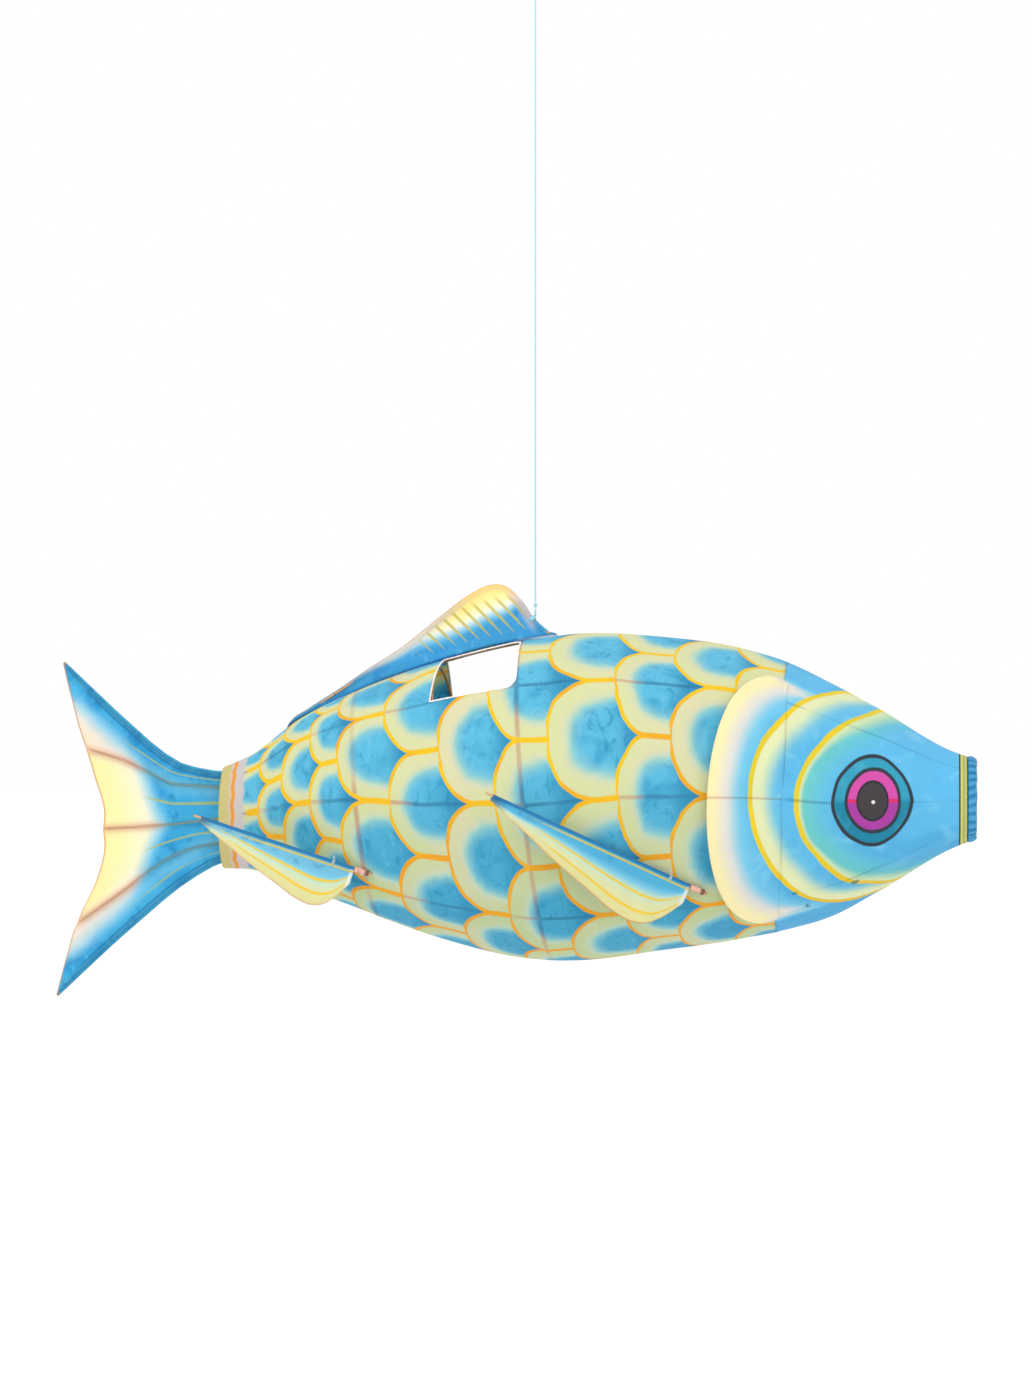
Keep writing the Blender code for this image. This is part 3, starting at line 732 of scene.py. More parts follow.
def scale_paint():
    """Overlapping scales: golden outlines, pale borders and blotchy blue hearts."""
    paint = Paint("painted_scales")
    column, spot, station = paint.attribute("scales")
    pitch, cell, _ = paint.attribute("cell")
    drift = paint.noise(14, 2.0)
    tremble = paint.noise(60, 2.0)
    column = column + (drift - 0.5) * 0.16 + (tremble - 0.5) * 0.05
    spot = spot + (paint.noise(11, 1.0, 0.0, paint.stretched(1.3, 1.0, 0.8)) - 0.5) * 0.20
    whole = column.floor()
    part = column - whole
    odd = (whole + 100).math("MODULO", whole + 100, 2.0)
    away = (spot + odd).wave(2.0)
    depth = 0.56 + odd * 0.16
    bow = ((depth - part) / depth).most(0.0)
    steep = length_of(bow / (depth * pitch), away / cell)
    reach = length_of(bow, away)
    off_arc = (reach - 1) * reach / (steep + 0.0001)
    in_front = (1 - off_arc.below(0.0)) * part.below(depth)
    to_own_edge = (off_arc * -1) * part.below(depth) + (1 - away) * cell * (1 - part.below(depth))
    to_edge = to_own_edge * (1 - in_front) + away * cell * in_front
    to_next_arc = off_arc * in_front + (1 - in_front)
    nearest_line = to_edge.least(to_next_arc)
    arm_zone = (part - depth).rise(-0.25, 0.1) * (1 - in_front)
    swell = paint.noise(45, 2.0) * 0.0009 + arm_zone * 0.0009
    line = nearest_line.fall(swell + 0.0009, swell + 0.0019)
    forward = part + in_front
    sideways = away + in_front * (1 - away * 2)
    reach_out = (forward - 1.02) / 1.02
    round_heart = 1 - length_of(reach_out, sideways)
    heart = to_edge / cell * 0.35 + round_heart * 0.65 + (paint.noise(30, 3.0, 0.8) - 0.5) * 0.16
    heart = heart + forward.rise(1.05, 1.55) * 0.30
    blotch = paint.noise(24, 3.0, 1.2)
    stroke = paint.noise(60, 3.0, 2.4, paint.stretched(1.0, 1.0, 0.6))
    # Painted shade: low grows towards the belly, where the blue turns darker, the pale borders greener and
    # the gold outlines more orange.
    low = spot.rise(3.0, 6.2)
    tip = forward.rise(0.90, 1.35) * (1 - low * 0.3)
    blue = paint.layers(
        paint.mix(colour("66C8E6"), colour("49B4D6"), low),
        ("3CAAD2", blotch.rise(0.46, 0.72) * 0.70),
        ("2294BE", stroke.rise(0.54, 0.70) * 0.50),
        ("93DDF2", (1 - stroke).rise(0.60, 0.74) * 0.35),
        ("2092C0", tip * 0.80),
    )
    pale = paint.layers(
        paint.mix(colour("E3E5B4"), colour("CCDAA8"), low),
        ("DDDDD4", heart.rise(0.14, 0.34) * 0.65),
        ("EEDCC8", paint.noise(9, 2.0).rise(0.48, 0.68) * 0.30),
    )
    in_blue = heart.rise(0.28, 0.58)
    base = paint.layers(
        pale,
        ("B4E0CC", heart.rise(0.20, 0.38) * 0.80),
        ("8AD2E0", heart.rise(0.28, 0.44) * 0.75),
        (blue, in_blue),
    )
    # Painted shade: the stringers and the mid and rear hoops seen through the cloth, as soft pinkish-brown
    # lines on the pale paint and darker blue lines on the blue.
    rod_shade_strength = paint.noise(12, 2.0).rise(0.30, 0.60) * 0.6 + 0.25
    stringer_shade_line = (spot.wave(2.0) * cell).band(0.0017, 0.0011)
    hoop = (station - MID_STATION).band(0.0022, 0.0010) + (station - REAR_STATION).band(0.0024, 0.0010)
    through = paint.mix(colour("CF9A7C"), colour("2F7FA8"), in_blue)
    base = paint.mix(base, through, (stringer_shade_line + hoop).least(1.0) * rod_shade_strength * 0.80)
    gold = paint.layers(
        paint.mix(colour("F8D224"), colour("F3B42A"), low),
        ("F2A428", paint.noise(16, 2.0).rise(0.50, 0.64) * 0.55),
    )
    base = paint.mix(base, gold, line * (station + 0.291).rise(0.0, 0.005))
    scallop = (spot.wave(1.0) - 0.5) * 0.0016
    station = station + scallop
    hem = paint.layers(
        colour("D9CE8C"),
        ("E2D3C8", (station + 0.3080).rise(-0.0010, 0.0010) * 0.75),
        ("F0A84A", (station + 0.3035).band(0.0018, 0.0008)),
        ("D9D2D0", (station + 0.3015).rise(0.0, 0.002)),
        (base, (station + 0.2930).rise(-0.001, 0.003)),
    )
    return paint.cloth(hem, line)


def head_base(paint):
    """Sky blue with cream-edged golden arcs."""
    first, second, third = paint.attribute("arcs")
    across, rise, spot = paint.attribute("eye")
    wobble = (paint.noise(22, 2.0) - 0.5) * 0.008
    cream_turn = abs(spot - 4.2).rise(0.6, 3.2)
    blue = paint.layers(
        colour("6CCBF1"),
        ("5CBFEA", paint.noise(16, 3.0, 0.8).rise(0.46, 0.64) * 0.75),
        ("8BDAF5", paint.noise(24, 3.0, 1.2).rise(0.54, 0.70) * 0.65),
        # Painted shade: a deeper blue towards the belly.
        ("4DB3E0", spot.rise(5.2, 7.2) * 0.6),
    )
    after_3 = third + wobble * 0.6
    base = paint.layers(
        blue,
        ("7FDCCB", after_3.fall(0.004, 0.034) * after_3.rise(-0.001, 0.001) * 0.75),
        ("E9EFC0", after_3.fall(0.002, 0.007 + cream_turn * 0.014) * after_3.rise(-0.001, 0.001) * 0.9),
    )
    after_2 = second + wobble
    behind_3 = third.fall(-0.0005, 0.0005)
    base = paint.layers(
        base,
        (blue, behind_3),
        ("8FDBE6", after_2.fall(0.014, 0.033) * behind_3 * 0.75),
        ("EEF1C6", after_2.fall(0.008, 0.024) * behind_3),
    )
    after_1 = first + wobble * 0.7
    behind_2 = second.fall(-0.0005, 0.0005)
    base = paint.layers(
        base,
        (blue, behind_2),
        ("8CDCF2", after_1.fall(0.028, 0.050) * behind_2 * 0.85),
        ("F1EAE2", after_1.fall(0.018, 0.034) * behind_2 * 0.95),
        ("FCF4C4", after_1.fall(0.006, 0.021) * behind_2),
    )
    width = paint.noise(30, 2.0) * 0.0014 + 0.0012
    for arc in (second, third):
        edge = abs(arc + (paint.noise(60, 1.0) - 0.5) * 0.0012)
        line = edge.fall(width, width + 0.0008)
        gold = paint.layers(
            colour("F8DC30"),
            ("E6D63C", paint.noise(12, 2.0).rise(0.42, 0.60) * 0.6),
            # Painted shade: the gold turns more orange towards the belly.
            ("F4C430", spot.rise(5.0, 6.5) * 0.5),
        )
        base = paint.mix(base, gold, line)
    return base, across, rise, spot


def head_paint():
    paint = Paint("painted_head")
    base, across, rise, spot = head_base(paint)
    x = across + EYE_CENTRE[0]
    # Painted shade: a darker blue line along each stringer, where the rod is seen through the cloth.
    stringer_shade_line = (spot.wave(2.0) * 0.042).band(0.0011, 0.0008) * (x - 0.25).rise(0.0, 0.01)
    base = paint.mix(base, colour("5E93B4"), stringer_shade_line * paint.noise(14, 2.0).rise(0.30, 0.6) * 0.40, "MULTIPLY")
    wobble = (paint.noise(30, 1.0) - 0.5) * 0.10
    squash = across.rise(0.0, 0.034) * abs(rise * 24).least(1.0) * 0.12
    eye = length_of(across / 0.0385, rise / 0.0435) + wobble + squash
    inner = length_of(across / 0.0262, rise / 0.0312) + wobble * 0.9
    pupil = length_of((across + 0.0006) / 0.0148, rise / 0.0192) + wobble * 0.8
    glint = length_of(across, rise + 0.0012)
    lower = rise.fall(-0.004, 0.004)
    teal = paint.layers(
        colour("3AAFCD"),
        ("1C94B4", lower),
        ("57BFD6", paint.noise(40, 2.0).rise(0.5, 0.7) * 0.5),
    )
    pink = paint.layers(colour("E25ABA"), ("BE46B4", lower), ("F02A62", rise.band(0.0016, 0.0008) * 0.85))
    ink = colour("38424E")
    base = paint.layers(
        base,
        (ink, eye.fall(1.00, 1.03)),
        (teal, eye.fall(0.915, 0.945)),
        (ink, inner.fall(1.00, 1.04)),
        (pink, inner.fall(0.885, 0.925)),
        (colour("2E3038"), pupil.fall(1.00, 1.06)),
        (colour("4C464A"), pupil.fall(0.88, 0.96)),
        (colour("FAFAF6"), glint.fall(0.0014, 0.0021)),
    )
    rim = paint.layers(
        base,
        ("23303E", (x - 0.4194).rise(-0.0003, 0.0003)),
        ("D9DC84", (x - 0.4208).rise(-0.0003, 0.0003)),
        ("A9AE62", (x - 0.4240).band(0.0006, 0.0003)),
    )
    return paint.cloth(rim)


def make_body():
    marks = [HEM_STATION, PEDUNCLE_STATION, REAR_STATION, VENT_STATION, MID_STATION, GILL_STATION - GAP / 2]
    stations = [marks[0]]
    for low, high in zip(marks, marks[1:]):
        count = max(2, round((high - low) / CLOTH_STEP))
        stations += list(np.linspace(low, high, count + 1)[1:])
    stations = np.array(stations)
    turns = np.arange(0, 360, BODY_TURN_STEP)
    station, turn = np.meshgrid(stations, turns, indexing="ij")
    first = int(np.argmin(abs(stations - VENT_STATION)))
    last = int(np.argmin(abs(stations - MID_STATION)))
    skip = np.zeros(station.shape, bool)
    low, high = VENT_TURNS
    for j, angle in enumerate(turns):
        middle = fold(angle + BODY_TURN_STEP / 2)
        if low < middle < high:
            skip[first:last, j] = True
    station, turn = round_vent(station, turn)
    points = cloth_point(station, turn)
    fields = cloth_fields(station, turn, points[..., 0])
    faces = grid_faces(len(stations), len(turns), True, skip)
    used = sorted({index for face in faces for index in face})
    number = {old: new for new, old in enumerate(used)}
    faces = [tuple(number[index] for index in face) for face in faces]
    fields = {key: values.reshape(-1, 3)[used] for key, values in fields.items()}
    body = mesh_piece("body_cloth", points.reshape(-1, 3)[used], faces, "fish", fields)
    thicken(body)
    dressed(body, scale_paint(), "scale_cloth", "body_skin_right", "body_skin_left")
    vent_edges(stations[first], stations[last])


def vent_uv(station, turn):
    """Place in a side's vent opening: -1 to 1 along it and from its upper to its lower edge."""
    low, high = VENT_TURNS
    u = (station - VENT_STATION) / (MID_STATION - VENT_STATION) * 2 - 1
    v = (fold(turn) - low) / (high - low) * 2 - 1
    return u, v


def round_vent(station, turn):
    """Draws the grid in at the vent's two front corners, so that they are round."""
    u, v = vent_uv(station, turn)
    reach = np.maximum(abs(u), abs(v))
    power = 9.0
    squircle = (abs(u) ** power + abs(v) ** power) ** (1 / power)
    pull = np.clip((1.6 - reach) / 0.6, 0, 1) * np.clip((reach - 0.5) / 0.5, 0, 1) * (u > 0)
    scale = 1 + (reach / np.maximum(squircle, 1e-6) - 1) * pull * 1.2
    low, high = VENT_TURNS
    new_u = u * scale
    new_v = v * scale
    new_station = VENT_STATION + (new_u + 1) / 2 * (MID_STATION - VENT_STATION)
    new_fold = low + (new_v + 1) / 2 * (high - low)
    side = np.where((turn + 180) % 360 - 180 < 0, -1.0, 1.0)
    near = (pull > 0) & (fold(turn) > 0.1)
    station = np.where(near, new_station, station)
    fade = np.exp(-(((u + 1) / 0.7) ** 2)) * np.clip((1.5 - np.abs(v)) / 0.5, 0, 1) * (fold(turn) > 0.1)
    slant = VENT_SLANT * (1 - np.clip(v, -1, 1)) / 2 * fade
    return station + slant, np.where(near, side * new_fold, turn)


def vent_edges(rear, front):
    """Rolled hems round the openings, white on the rear arch."""
    paint = Paint("hem_tape")
    base = paint.layers(
        colour("EFE7E6"),
        ("E2B9A8", paint.noise(90, 2.0, 1.0).rise(0.50, 0.62) * 0.6),
        ("B98C78", paint.noise(400, 2.0).rise(0.62, 0.72) * 0.4),
    )
    finish = paint.solid(base, 0.8, paint.noise(1500, 2.0), 0.4, 0.0003, Sheen_Weight=0.2)
    low, high = VENT_TURNS
    for side, word in SIDES:
        loop = []
        for u, v in rounded_square(48):
            loop.append((rear + (u + 1) / 2 * (front - rear), side * (low + (v + 1) / 2 * (high - low))))
        edge = np.array(loop)
        station, turn = round_vent(edge[:, 0], edge[:, 1])
        path = cloth_point(station, turn) - outward(ring_x(station, turn), turn) * 0.0003
        ups = outward(ring_x(station, turn), turn)
        lumps = 1 + 0.10 * np.sin(np.arange(len(path)) * 1.7)
        shape = sweep(path, disc(0.00085, 8), True, ups, lumps)
        hem = mesh_piece(f"vent_hem_{word}", *shape, "fish")
        dressed(hem, finish, "scale_cloth")


def rounded_square(count):
    """Points round the square from -1 to 1."""
    side = np.linspace(-1, 1, count, endpoint=False)
    one = np.ones(count)
    sides = ((side, -one), (one, side), (-side, one), (-one, -side))
    return np.concatenate([np.stack(pair, -1) for pair in sides])


def make_head():
    count = round((HEAD_FRONT - GILL_STATION) / CLOTH_STEP)
    stations = np.linspace(GILL_STATION + GAP / 2, HEAD_FRONT, count + 1)
    turns = np.arange(0, 360, BODY_TURN_STEP)
    station, turn = np.meshgrid(stations, turns, indexing="ij")
    points = cloth_point(station, turn)
    fields = head_fields(points[..., 0], turn, points[..., 2])
    fields.update(cloth=cloth_fields(station, turn, points[..., 0])["cloth"])
    head = mesh_piece("head_cloth", points, grid_faces(*station.shape, True), "fish", fields)
    thicken(head)
    dressed(head, head_paint(), "head_cloth", "head_skin_right", "head_skin_left")


# Studio

FLOOR_HEIGHT = -1.9
FLOOR_REACH = 30.0
FLOOR_GLOW = 0.06
LIGHT_AIM = (0, 0, -0.85)
LIGHTS = (("key", (-1.2, -2.2, 2.0), 60), ("fill", (1.8, -2.6, 0.4), 18))
LIGHT_SIZE = 2.0


def make_stage():
    """Pale floor and soft, even studio light."""
    paint = Paint("studio_floor")
    base = paint.layers(colour("FFFFFF"), ("FDFDFD", paint.noise(2, 2.0)))
    white = (1, 1, 1, 1)
    data = bpy.data.meshes.new("floor")
    corners = [(x * FLOOR_REACH, y * FLOOR_REACH, 0) for x, y in ((-1, -1), (1, -1), (1, 1), (-1, 1))]
    data.from_pydata(corners, [], [(0, 1, 2, 3)])
    data.materials.append(paint.solid(base, 0.9, Emission_Color=white, Emission_Strength=FLOOR_GLOW))
    floor = bpy.data.objects.new("floor", data)
    floor.location = (0, 0, FLOOR_HEIGHT)
    bpy.context.scene.collection.objects.link(floor)
    world = bpy.data.worlds.new("studio")
    world.use_nodes = True
    sky = world.node_tree.nodes["Background"]
    sky.inputs["Color"].default_value = white
    sky.inputs["Strength"].default_value = 1.0
    bpy.context.scene.world = world
    bpy.context.scene.view_settings.view_transform = "Standard"
    for name, place, power in LIGHTS:
        lamp = bpy.data.lights.new(name, "AREA")
        lamp.size = LIGHT_SIZE
        lamp.energy = power
        light = bpy.data.objects.new(name, lamp)
        light.location = place
        aim = Vector(LIGHT_AIM) - Vector(place)
        light.rotation_euler = aim.to_track_quat("-Z", "Y").to_euler()
        bpy.context.scene.collection.objects.link(light)


# Gill flaps, each on a bent splint sewn into its hem

FLAP_HEM = 0.002
FLAP_ROLL = 0.0016
FLAP_SHARE = 0.99


def flap_swell(share):
    return np.sqrt(1 - np.asarray(share) ** 2)


def flap_point(share, across, side, depth=0.0):
    """A point of a gill flap; across runs from its seam, 0, to its free edge, 1."""
    swell = flap_swell(share)
    turn = FLAP_CENTRE_TURN + FLAP_HALF_TURN * share
    lift = 2 * (SPLINT_D / 2 + GAP) + GAP + FLAP_LIFT * swell
    seam = ring_x(GILL_STATION, turn) + FLAP_SEAM
    rise = GAP + CAD_CLOTH / 2 + lift * np.maximum(across, 0) ** FLAP_CURL
    return surface_point(seam - FLAP_WIDTH * swell * across, side * turn, depth - rise)


def make_gills(bamboo):
    shares = np.linspace(-FLAP_SHARE, FLAP_SHARE, 81)
    finish = flap_paint()
    for side, word in SIDES:
        width = FLAP_WIDTH * flap_swell(shares)
        bend = 1 - FLAP_HEM / width
        rows = []
        rows.append(flap_point(shares, -0.05 * bend, side, np.array(0.0016)))
        for step in np.linspace(0, 1, 22):
            ripple = 0.0007 * np.sin(shares * 17 + step * 3) * math.sin(math.pi * step) ** 2
            rows.append(flap_point(shares, bend * step, side, ripple - CLOTH))
        centre = flap_point(shares, bend, side, GAP + SPLINT_D / 2 + CAD_CLOTH / 2)
        up = unit(rows[-1] - centre)
        away = unit(rows[-1] - rows[-2])
        for angle in np.radians((20, 45, 70, 95, 120, 145, 170)):
            rows.append(centre + FLAP_ROLL * (math.cos(angle) * up + math.sin(angle) * away))
        for back in (0.0015, 0.0035, 0.0055):
            rows.append(centre - FLAP_ROLL * up - back * away)
        points = np.array(rows[::-1])
        turn = np.broadcast_to(FLAP_CENTRE_TURN + FLAP_HALF_TURN * shares, points.shape[:2])
        fields = head_fields(points[..., 0], turn, points[..., 2])
        fields.update(cloth=three(points[..., 0], points[..., 2]))
        name = f"gill_flap_{word}"
        flap = mesh_piece(
            f"{name}_cloth", points, grid_faces(*points.shape[:2], flip=side < 0), "fish", fields,
        )
        thicken(flap)
        dressed(flap, finish, "gill_cloth", name)
        ups = outward(centre[:, 0], side * (FLAP_CENTRE_TURN + FLAP_HALF_TURN * shares))
        rod_piece(f"gill_splint_{word}", centre, SPLINT_D, bamboo, "fish", f"gill_bow_{word}", ups)


def flap_paint():
    paint = Paint("painted_flap")
    base, _, _, spot = head_base(paint)
    first, _, _ = paint.attribute("arcs")
    # Painted shade: the side stringer seen through the flap, multiplied in as a pinkish-brown line.
    stringer_shade_line = (abs(spot - 4.0) * 0.050).band(0.0009, 0.0006)
    base = paint.mix(base, colour("D9A58E"), stringer_shade_line * 0.45, "MULTIPLY")
    # Painted shade: the splint seen through the hem along the free edge, in pinkish brown.
    edge = first + (paint.noise(50, 1.0) - 0.5) * 0.0006
    base = paint.layers(base, ("C9907A", edge.fall(0.0010, 0.0022) * 0.85))
    return paint.cloth(base)


# Rods of split bamboo

NODE_PITCH = 0.115


def rod_profile(diameter):
    """Skin side round, pith side flatter."""
    turns = circle(14)
    side = np.cos(turns) * diameter / 2
    up = np.sin(turns) * diameter / 2
    return np.stack([side, np.where(up < 0, up * 0.82, up)], -1)


def rod_piece(name, path, diameter, finish, body, node, up=None, closed=False, taper=0.0, seed=0):
    """One bamboo rod: a little uneven, with a low ring at each of the cane's nodes."""
    path = np.asarray(path, float)
    steps = np.linalg.norm(np.diff(path, axis=0), axis=1)
    run = np.concatenate([[0], np.cumsum(steps)])
    total = run[-1] + (np.linalg.norm(path[0] - path[-1]) if closed else 0)
    fine = np.arange(0, total, 0.0022) if closed else np.linspace(0, total, max(6, round(total / 0.0022)))
    if closed:
        run = np.append(run, total)
        path = np.vstack([path, path[:1]])
        up = None if up is None else np.vstack([up, up[:1]])
    dense = np.stack([np.interp(fine, run, path[:, k]) for k in range(3)], -1)
    if len(fine) > 12:
        dense = softened(dense, closed)
    ups = None if up is None else np.stack([np.interp(fine, run, up[:, k]) for k in range(3)], -1)
    marks = (fine + 0.031 * (1 + seed)) % NODE_PITCH - NODE_PITCH / 2
    waves = 2 * math.pi * round(total / 0.05) / total
    uneven = 0.97 + 0.02 * np.sin(fine * 90 + seed) + 0.02 * np.sin(fine * waves)
    size = uneven * (1 + 0.07 * np.exp(-((marks / 0.0012) ** 2))) * (1 - taper * fine / total)
    points, faces = sweep(dense, rod_profile(diameter), closed, ups, np.minimum(size, 1.03))
    around = len(rod_profile(diameter))
    place = three(
        np.repeat(fine, around), np.tile(np.arange(around), len(fine)) / around, np.repeat(marks, around)
    )
    obj = mesh_piece(name, points, faces, body, {"cane": place})
    dressed(obj, finish, "bamboo_spar" if "spar" in name or "bow" in name else "bamboo_hoop", node)


def softened(path, closed, passes=3):
    for _ in range(passes):
        before, after = np.roll(path, 1, 0), np.roll(path, -1, 0)
        smoothed = path * 0.5 + (before + after) * 0.25
        if not closed:
            smoothed[0], smoothed[-1] = path[0], path[-1]
        path = smoothed
    return path


def bamboo_paint():
    """Split bamboo: long fibres, darker at the nodes."""
    paint = Paint("split_bamboo")
    run, around, node = paint.attribute("cane")
    grain_place = paint.tree.nodes.new("ShaderNodeCombineXYZ")
    paint.tree.links.new((run * 30).socket, grain_place.inputs[0])
    paint.tree.links.new((around.wave(1.0) * 9).socket, grain_place.inputs[1])
    fibres = paint.noise(2.0, 4.0, 0.3, Field(paint.tree, grain_place.outputs[0]))
    base = paint.layers(
        colour("C99B68"),
        ("8A5D3C", fibres.rise(0.42, 0.68) * 0.65),
        ("E3C08C", (1 - fibres).rise(0.60, 0.75) * 0.5),
        ("6A452B", node.band(0.0009, 0.0006) * 0.7),
        ("B0724F", paint.noise(25, 2.0).rise(0.5, 0.7) * 0.4),
    )
    return paint.solid(base, fibres * 0.25 + 0.42, fibres, 0.35, 0.0002)


def make_rods(bamboo):
    """Hoops, stringers and the arch over the vent."""
    turns = np.arange(0, 360, 4.0)
    for seed, (name, (station, _, diameter)) in enumerate(HOOPS.items()):
        path = ring_point(station, turns, hoop_depth(diameter))
        ups = outward(ring_x(station, turns), turns)
        rod_piece(f"{name}_cane", path, diameter, bamboo, "fish", name, ups, True, seed=seed)
    stations = np.linspace(PEDUNCLE_STATION - 0.0035, MOUTH_STATION + 0.0035, 120)
    for seed, (name, turn) in enumerate(STRINGERS.items()):
        path = ring_point(stations, float(turn), CAD_CLOTH + GAP + STRINGER_D / 2)
        ups = outward(ring_x(stations, float(turn)), float(turn))
        rod_piece(f"{name}_cane", path, STRINGER_D, bamboo, "fish", name, ups, seed=seed)
    turns = np.linspace(-VENT_TURNS[1], VENT_TURNS[1], 61)
    path = ring_point(VENT_STATION, turns, hoop_depth(VENT_ARCH_D))
    rod_piece(
        "vent_arch_cane", path, VENT_ARCH_D, bamboo, "fish", "vent_arch",
        outward(ring_x(VENT_STATION, turns), turns),
    )


def make_lashings():
    """Thread wound crosswise where each stringer crosses a hoop."""
    paint = Paint("binding_thread")
    fibres = paint.noise(1800, 2.0)
    base = paint.layers(
        colour("E9DCC6"),
        ("B89F86", fibres.rise(0.45, 0.65) * 0.7),
        ("8FC6D8", paint.noise(40, 1.0).rise(0.55, 0.65) * 0.6),
    )
    finish = paint.solid(base, fibres * 0.2 + 0.7, fibres, 0.4, 0.0002, Sheen_Weight=0.2)
    shapes = []
    for station, _, diameter in HOOPS.values():
        for turn in STRINGERS.values():
            for lean in (-1, 1):
                shapes.append(crossing_wrap(station, float(turn), diameter, lean))
    wraps = mesh_piece("crossing_lashings", *joined(shapes), "fish")
    dressed(wraps, finish, "bamboo_hoop")
    return finish


def crossing_wrap(station, turn, diameter, lean):
    x = ring_x(station, turn)
    up = outward(x, turn)
    along = unit(ring_point(station + 0.001, turn) - ring_point(station - 0.001, turn))
    around = np.cross(up, along)
    middle = surface_point(x, turn, CAD_CLOTH + GAP + (STRINGER_D + GAP + diameter) / 2)
    tall = (STRINGER_D + GAP + diameter) / 2 + 0.00005
    wide = max(STRINGER_D, diameter) / 2 + 0.0007
    across = unit(along * 0.75 + around * lean)
    angles = circle(28)
    ring = []
    for a in angles:
        c, s = math.cos(a), math.sin(a)
        reach = (abs(c) ** 3.4 + abs(s) ** 3.4) ** (-1 / 3.4)
        ring.append(middle + up * tall * c * reach + across * wide * s * reach)
    return sweep(ring, [(0.0004, 0.00012), (-0.0004, 0.00012), (-0.0004, -0.00012), (0.0004, -0.00012)], True)


# Lip

LIP_PROFILE = (
    (0.4276, 0.0004), (0.4284, -0.0001), (0.4296, -0.0006), (0.4312, -0.0009), (0.4330, -0.0007),
    (0.4348, -0.0002), (0.4362, 0.0005), (0.4369, 0.0014), (0.4368, 0.0023), (0.4360, 0.0029),
    (0.4346, 0.0031), (0.4328, 0.0030), (0.4310, 0.0030),
)


def make_lip():
    """The mouth's gathered hem, rolled in over the ring and frayed inside."""
    turns = np.arange(0, 360, 1.5)
    profile = np.array(LIP_PROFILE)
    station, turn = np.meshgrid(profile[:, 0], turns, indexing="ij")
    depth = np.broadcast_to(profile[:, 1:], station.shape)
    place = on_surface(station, turn)
    puff = np.abs(np.sin(np.radians(turn * 15) + 1.6 * noise_at(place, 60.0, 2.0)))
    bulge = 0.0008 * (puff - 0.55) * np.clip((station - 0.4278) / 0.003, 0, 1)
    slide = 0.0007 * noise_at(place, 110.0, 5.0) * np.clip((station - 0.432) / 0.004, 0, 1)
    points = surface_point(station + slide, turn, depth - bulge)
    inside = np.broadcast_to(np.arange(len(profile))[:, None] / (len(profile) - 1), station.shape)
    fields = {"lip": three(station, inside, puff), "cloth": three(turn * THREAD_PITCH, station)}
    lip = mesh_piece("lip_cloth", points, grid_faces(*station.shape, True), "fish", fields)
    thicken(lip, 0.0005)
    dressed(lip, lip_paint(), "lip_cloth", "lip_hem")
    draw = random.Random(7)
    shapes = []
    for _ in range(90):
        angle = draw.uniform(0, 360)
        reach = draw.uniform(0.0012, 0.0032)
        start = surface_point(np.array(0.4362), angle, np.array(0.0022))
        aim = np.array((draw.uniform(0.5, 1.0), draw.uniform(-0.6, 0.6), draw.uniform(-0.6, 0.6)))
        curl = np.array([draw.uniform(-1, 1) for _ in range(3)]) * reach * 0.35
        path = [start + aim * reach * t + curl * t * t for t in np.linspace(0, 1, 5)]
        shapes.append(sweep(path, disc(0.00011, 3)))
    fray = mesh_piece("lip_frays", *joined(shapes), "fish")
    paint = Paint("frayed_thread")
    base = paint.layers(
        colour("F3E4E2"),
        ("D9A9A0", paint.noise(300, 2.0).rise(0.45, 0.6)),
        ("CFEAF5", paint.noise(120, 1.0).rise(0.55, 0.7) * 0.7),
    )
    dressed(fray, paint.solid(base, 0.85, paint.noise(2000, 1.0), 0.2, 0.0001), "lip_cloth")


def lip_paint():
    paint = Paint("painted_lip")
    station, inside, puff = paint.attribute("lip")
    base = paint.layers(
        paint.mix(colour("3FA3D4"), colour("2D93C6"), paint.noise(50, 2.0).rise(0.4, 0.6)),
        # Painted highlight on the puffs of the gathered hem and painted shade in the folds between them.
        ("72C8EA", puff.rise(0.5, 1.0) * 0.5),
        ("1D6FA0", (1 - puff).rise(0.55, 1.0) * 0.55),
        ("22303C", station.fall(0.4282, 0.4286)),
        ("F0E2E2", inside.rise(0.50, 0.60) * paint.noise(160, 3.0).rise(0.38, 0.52)),
        ("D8ECF4", inside.rise(0.66, 0.80)),
    )
    return paint.cloth(base)


# Dorsal fin

BOW_D = 0.003
DORSAL_FRONT = 0.015
DORSAL_LENGTH = 0.260
DORSAL_HEIGHT = 0.062
DORSAL_SHAPE = (
    (0.00, 0.05), (0.06, 0.31), (0.12, 0.69), (0.175, 0.93), (0.233, 1.00), (0.30, 0.945),
    (0.41, 0.74), (0.585, 0.40), (0.70, 0.28), (0.82, 0.15), (1.00, 0.04),
)
TIE_STATION = -0.0025
WRAP = 0.0006
DORSAL_TAPER = 0.03


def ridge_height(x):
    return on_surface(x, 0.0 * np.asarray(x))[..., 2]


def dorsal_point(share):
    x = DORSAL_FRONT - share * DORSAL_LENGTH
    rise = smooth(DORSAL_SHAPE, share) * DORSAL_HEIGHT
    slope = (ridge_height(x + BOW_D) - ridge_height(x - BOW_D)) / (2 * BOW_D)
    seated = (BOW_D / 2 + 3 * GAP) * np.hypot(1, slope)
    return three(x, 0 * x, ridge_height(x) + np.maximum(rise - BOW_D / 2, seated))


def wrap_half(distance, radius, reach, base=0.0004):
    """Half the thickness of cloth folded over a rod: distance is from the rod's middle into the cloth."""
    inside = base + (radius - base) * np.exp(-((distance / reach) ** 2))
    outside = np.sqrt(np.maximum(radius**2 - distance**2, 0))
    return np.where(distance > 0, inside, outside)


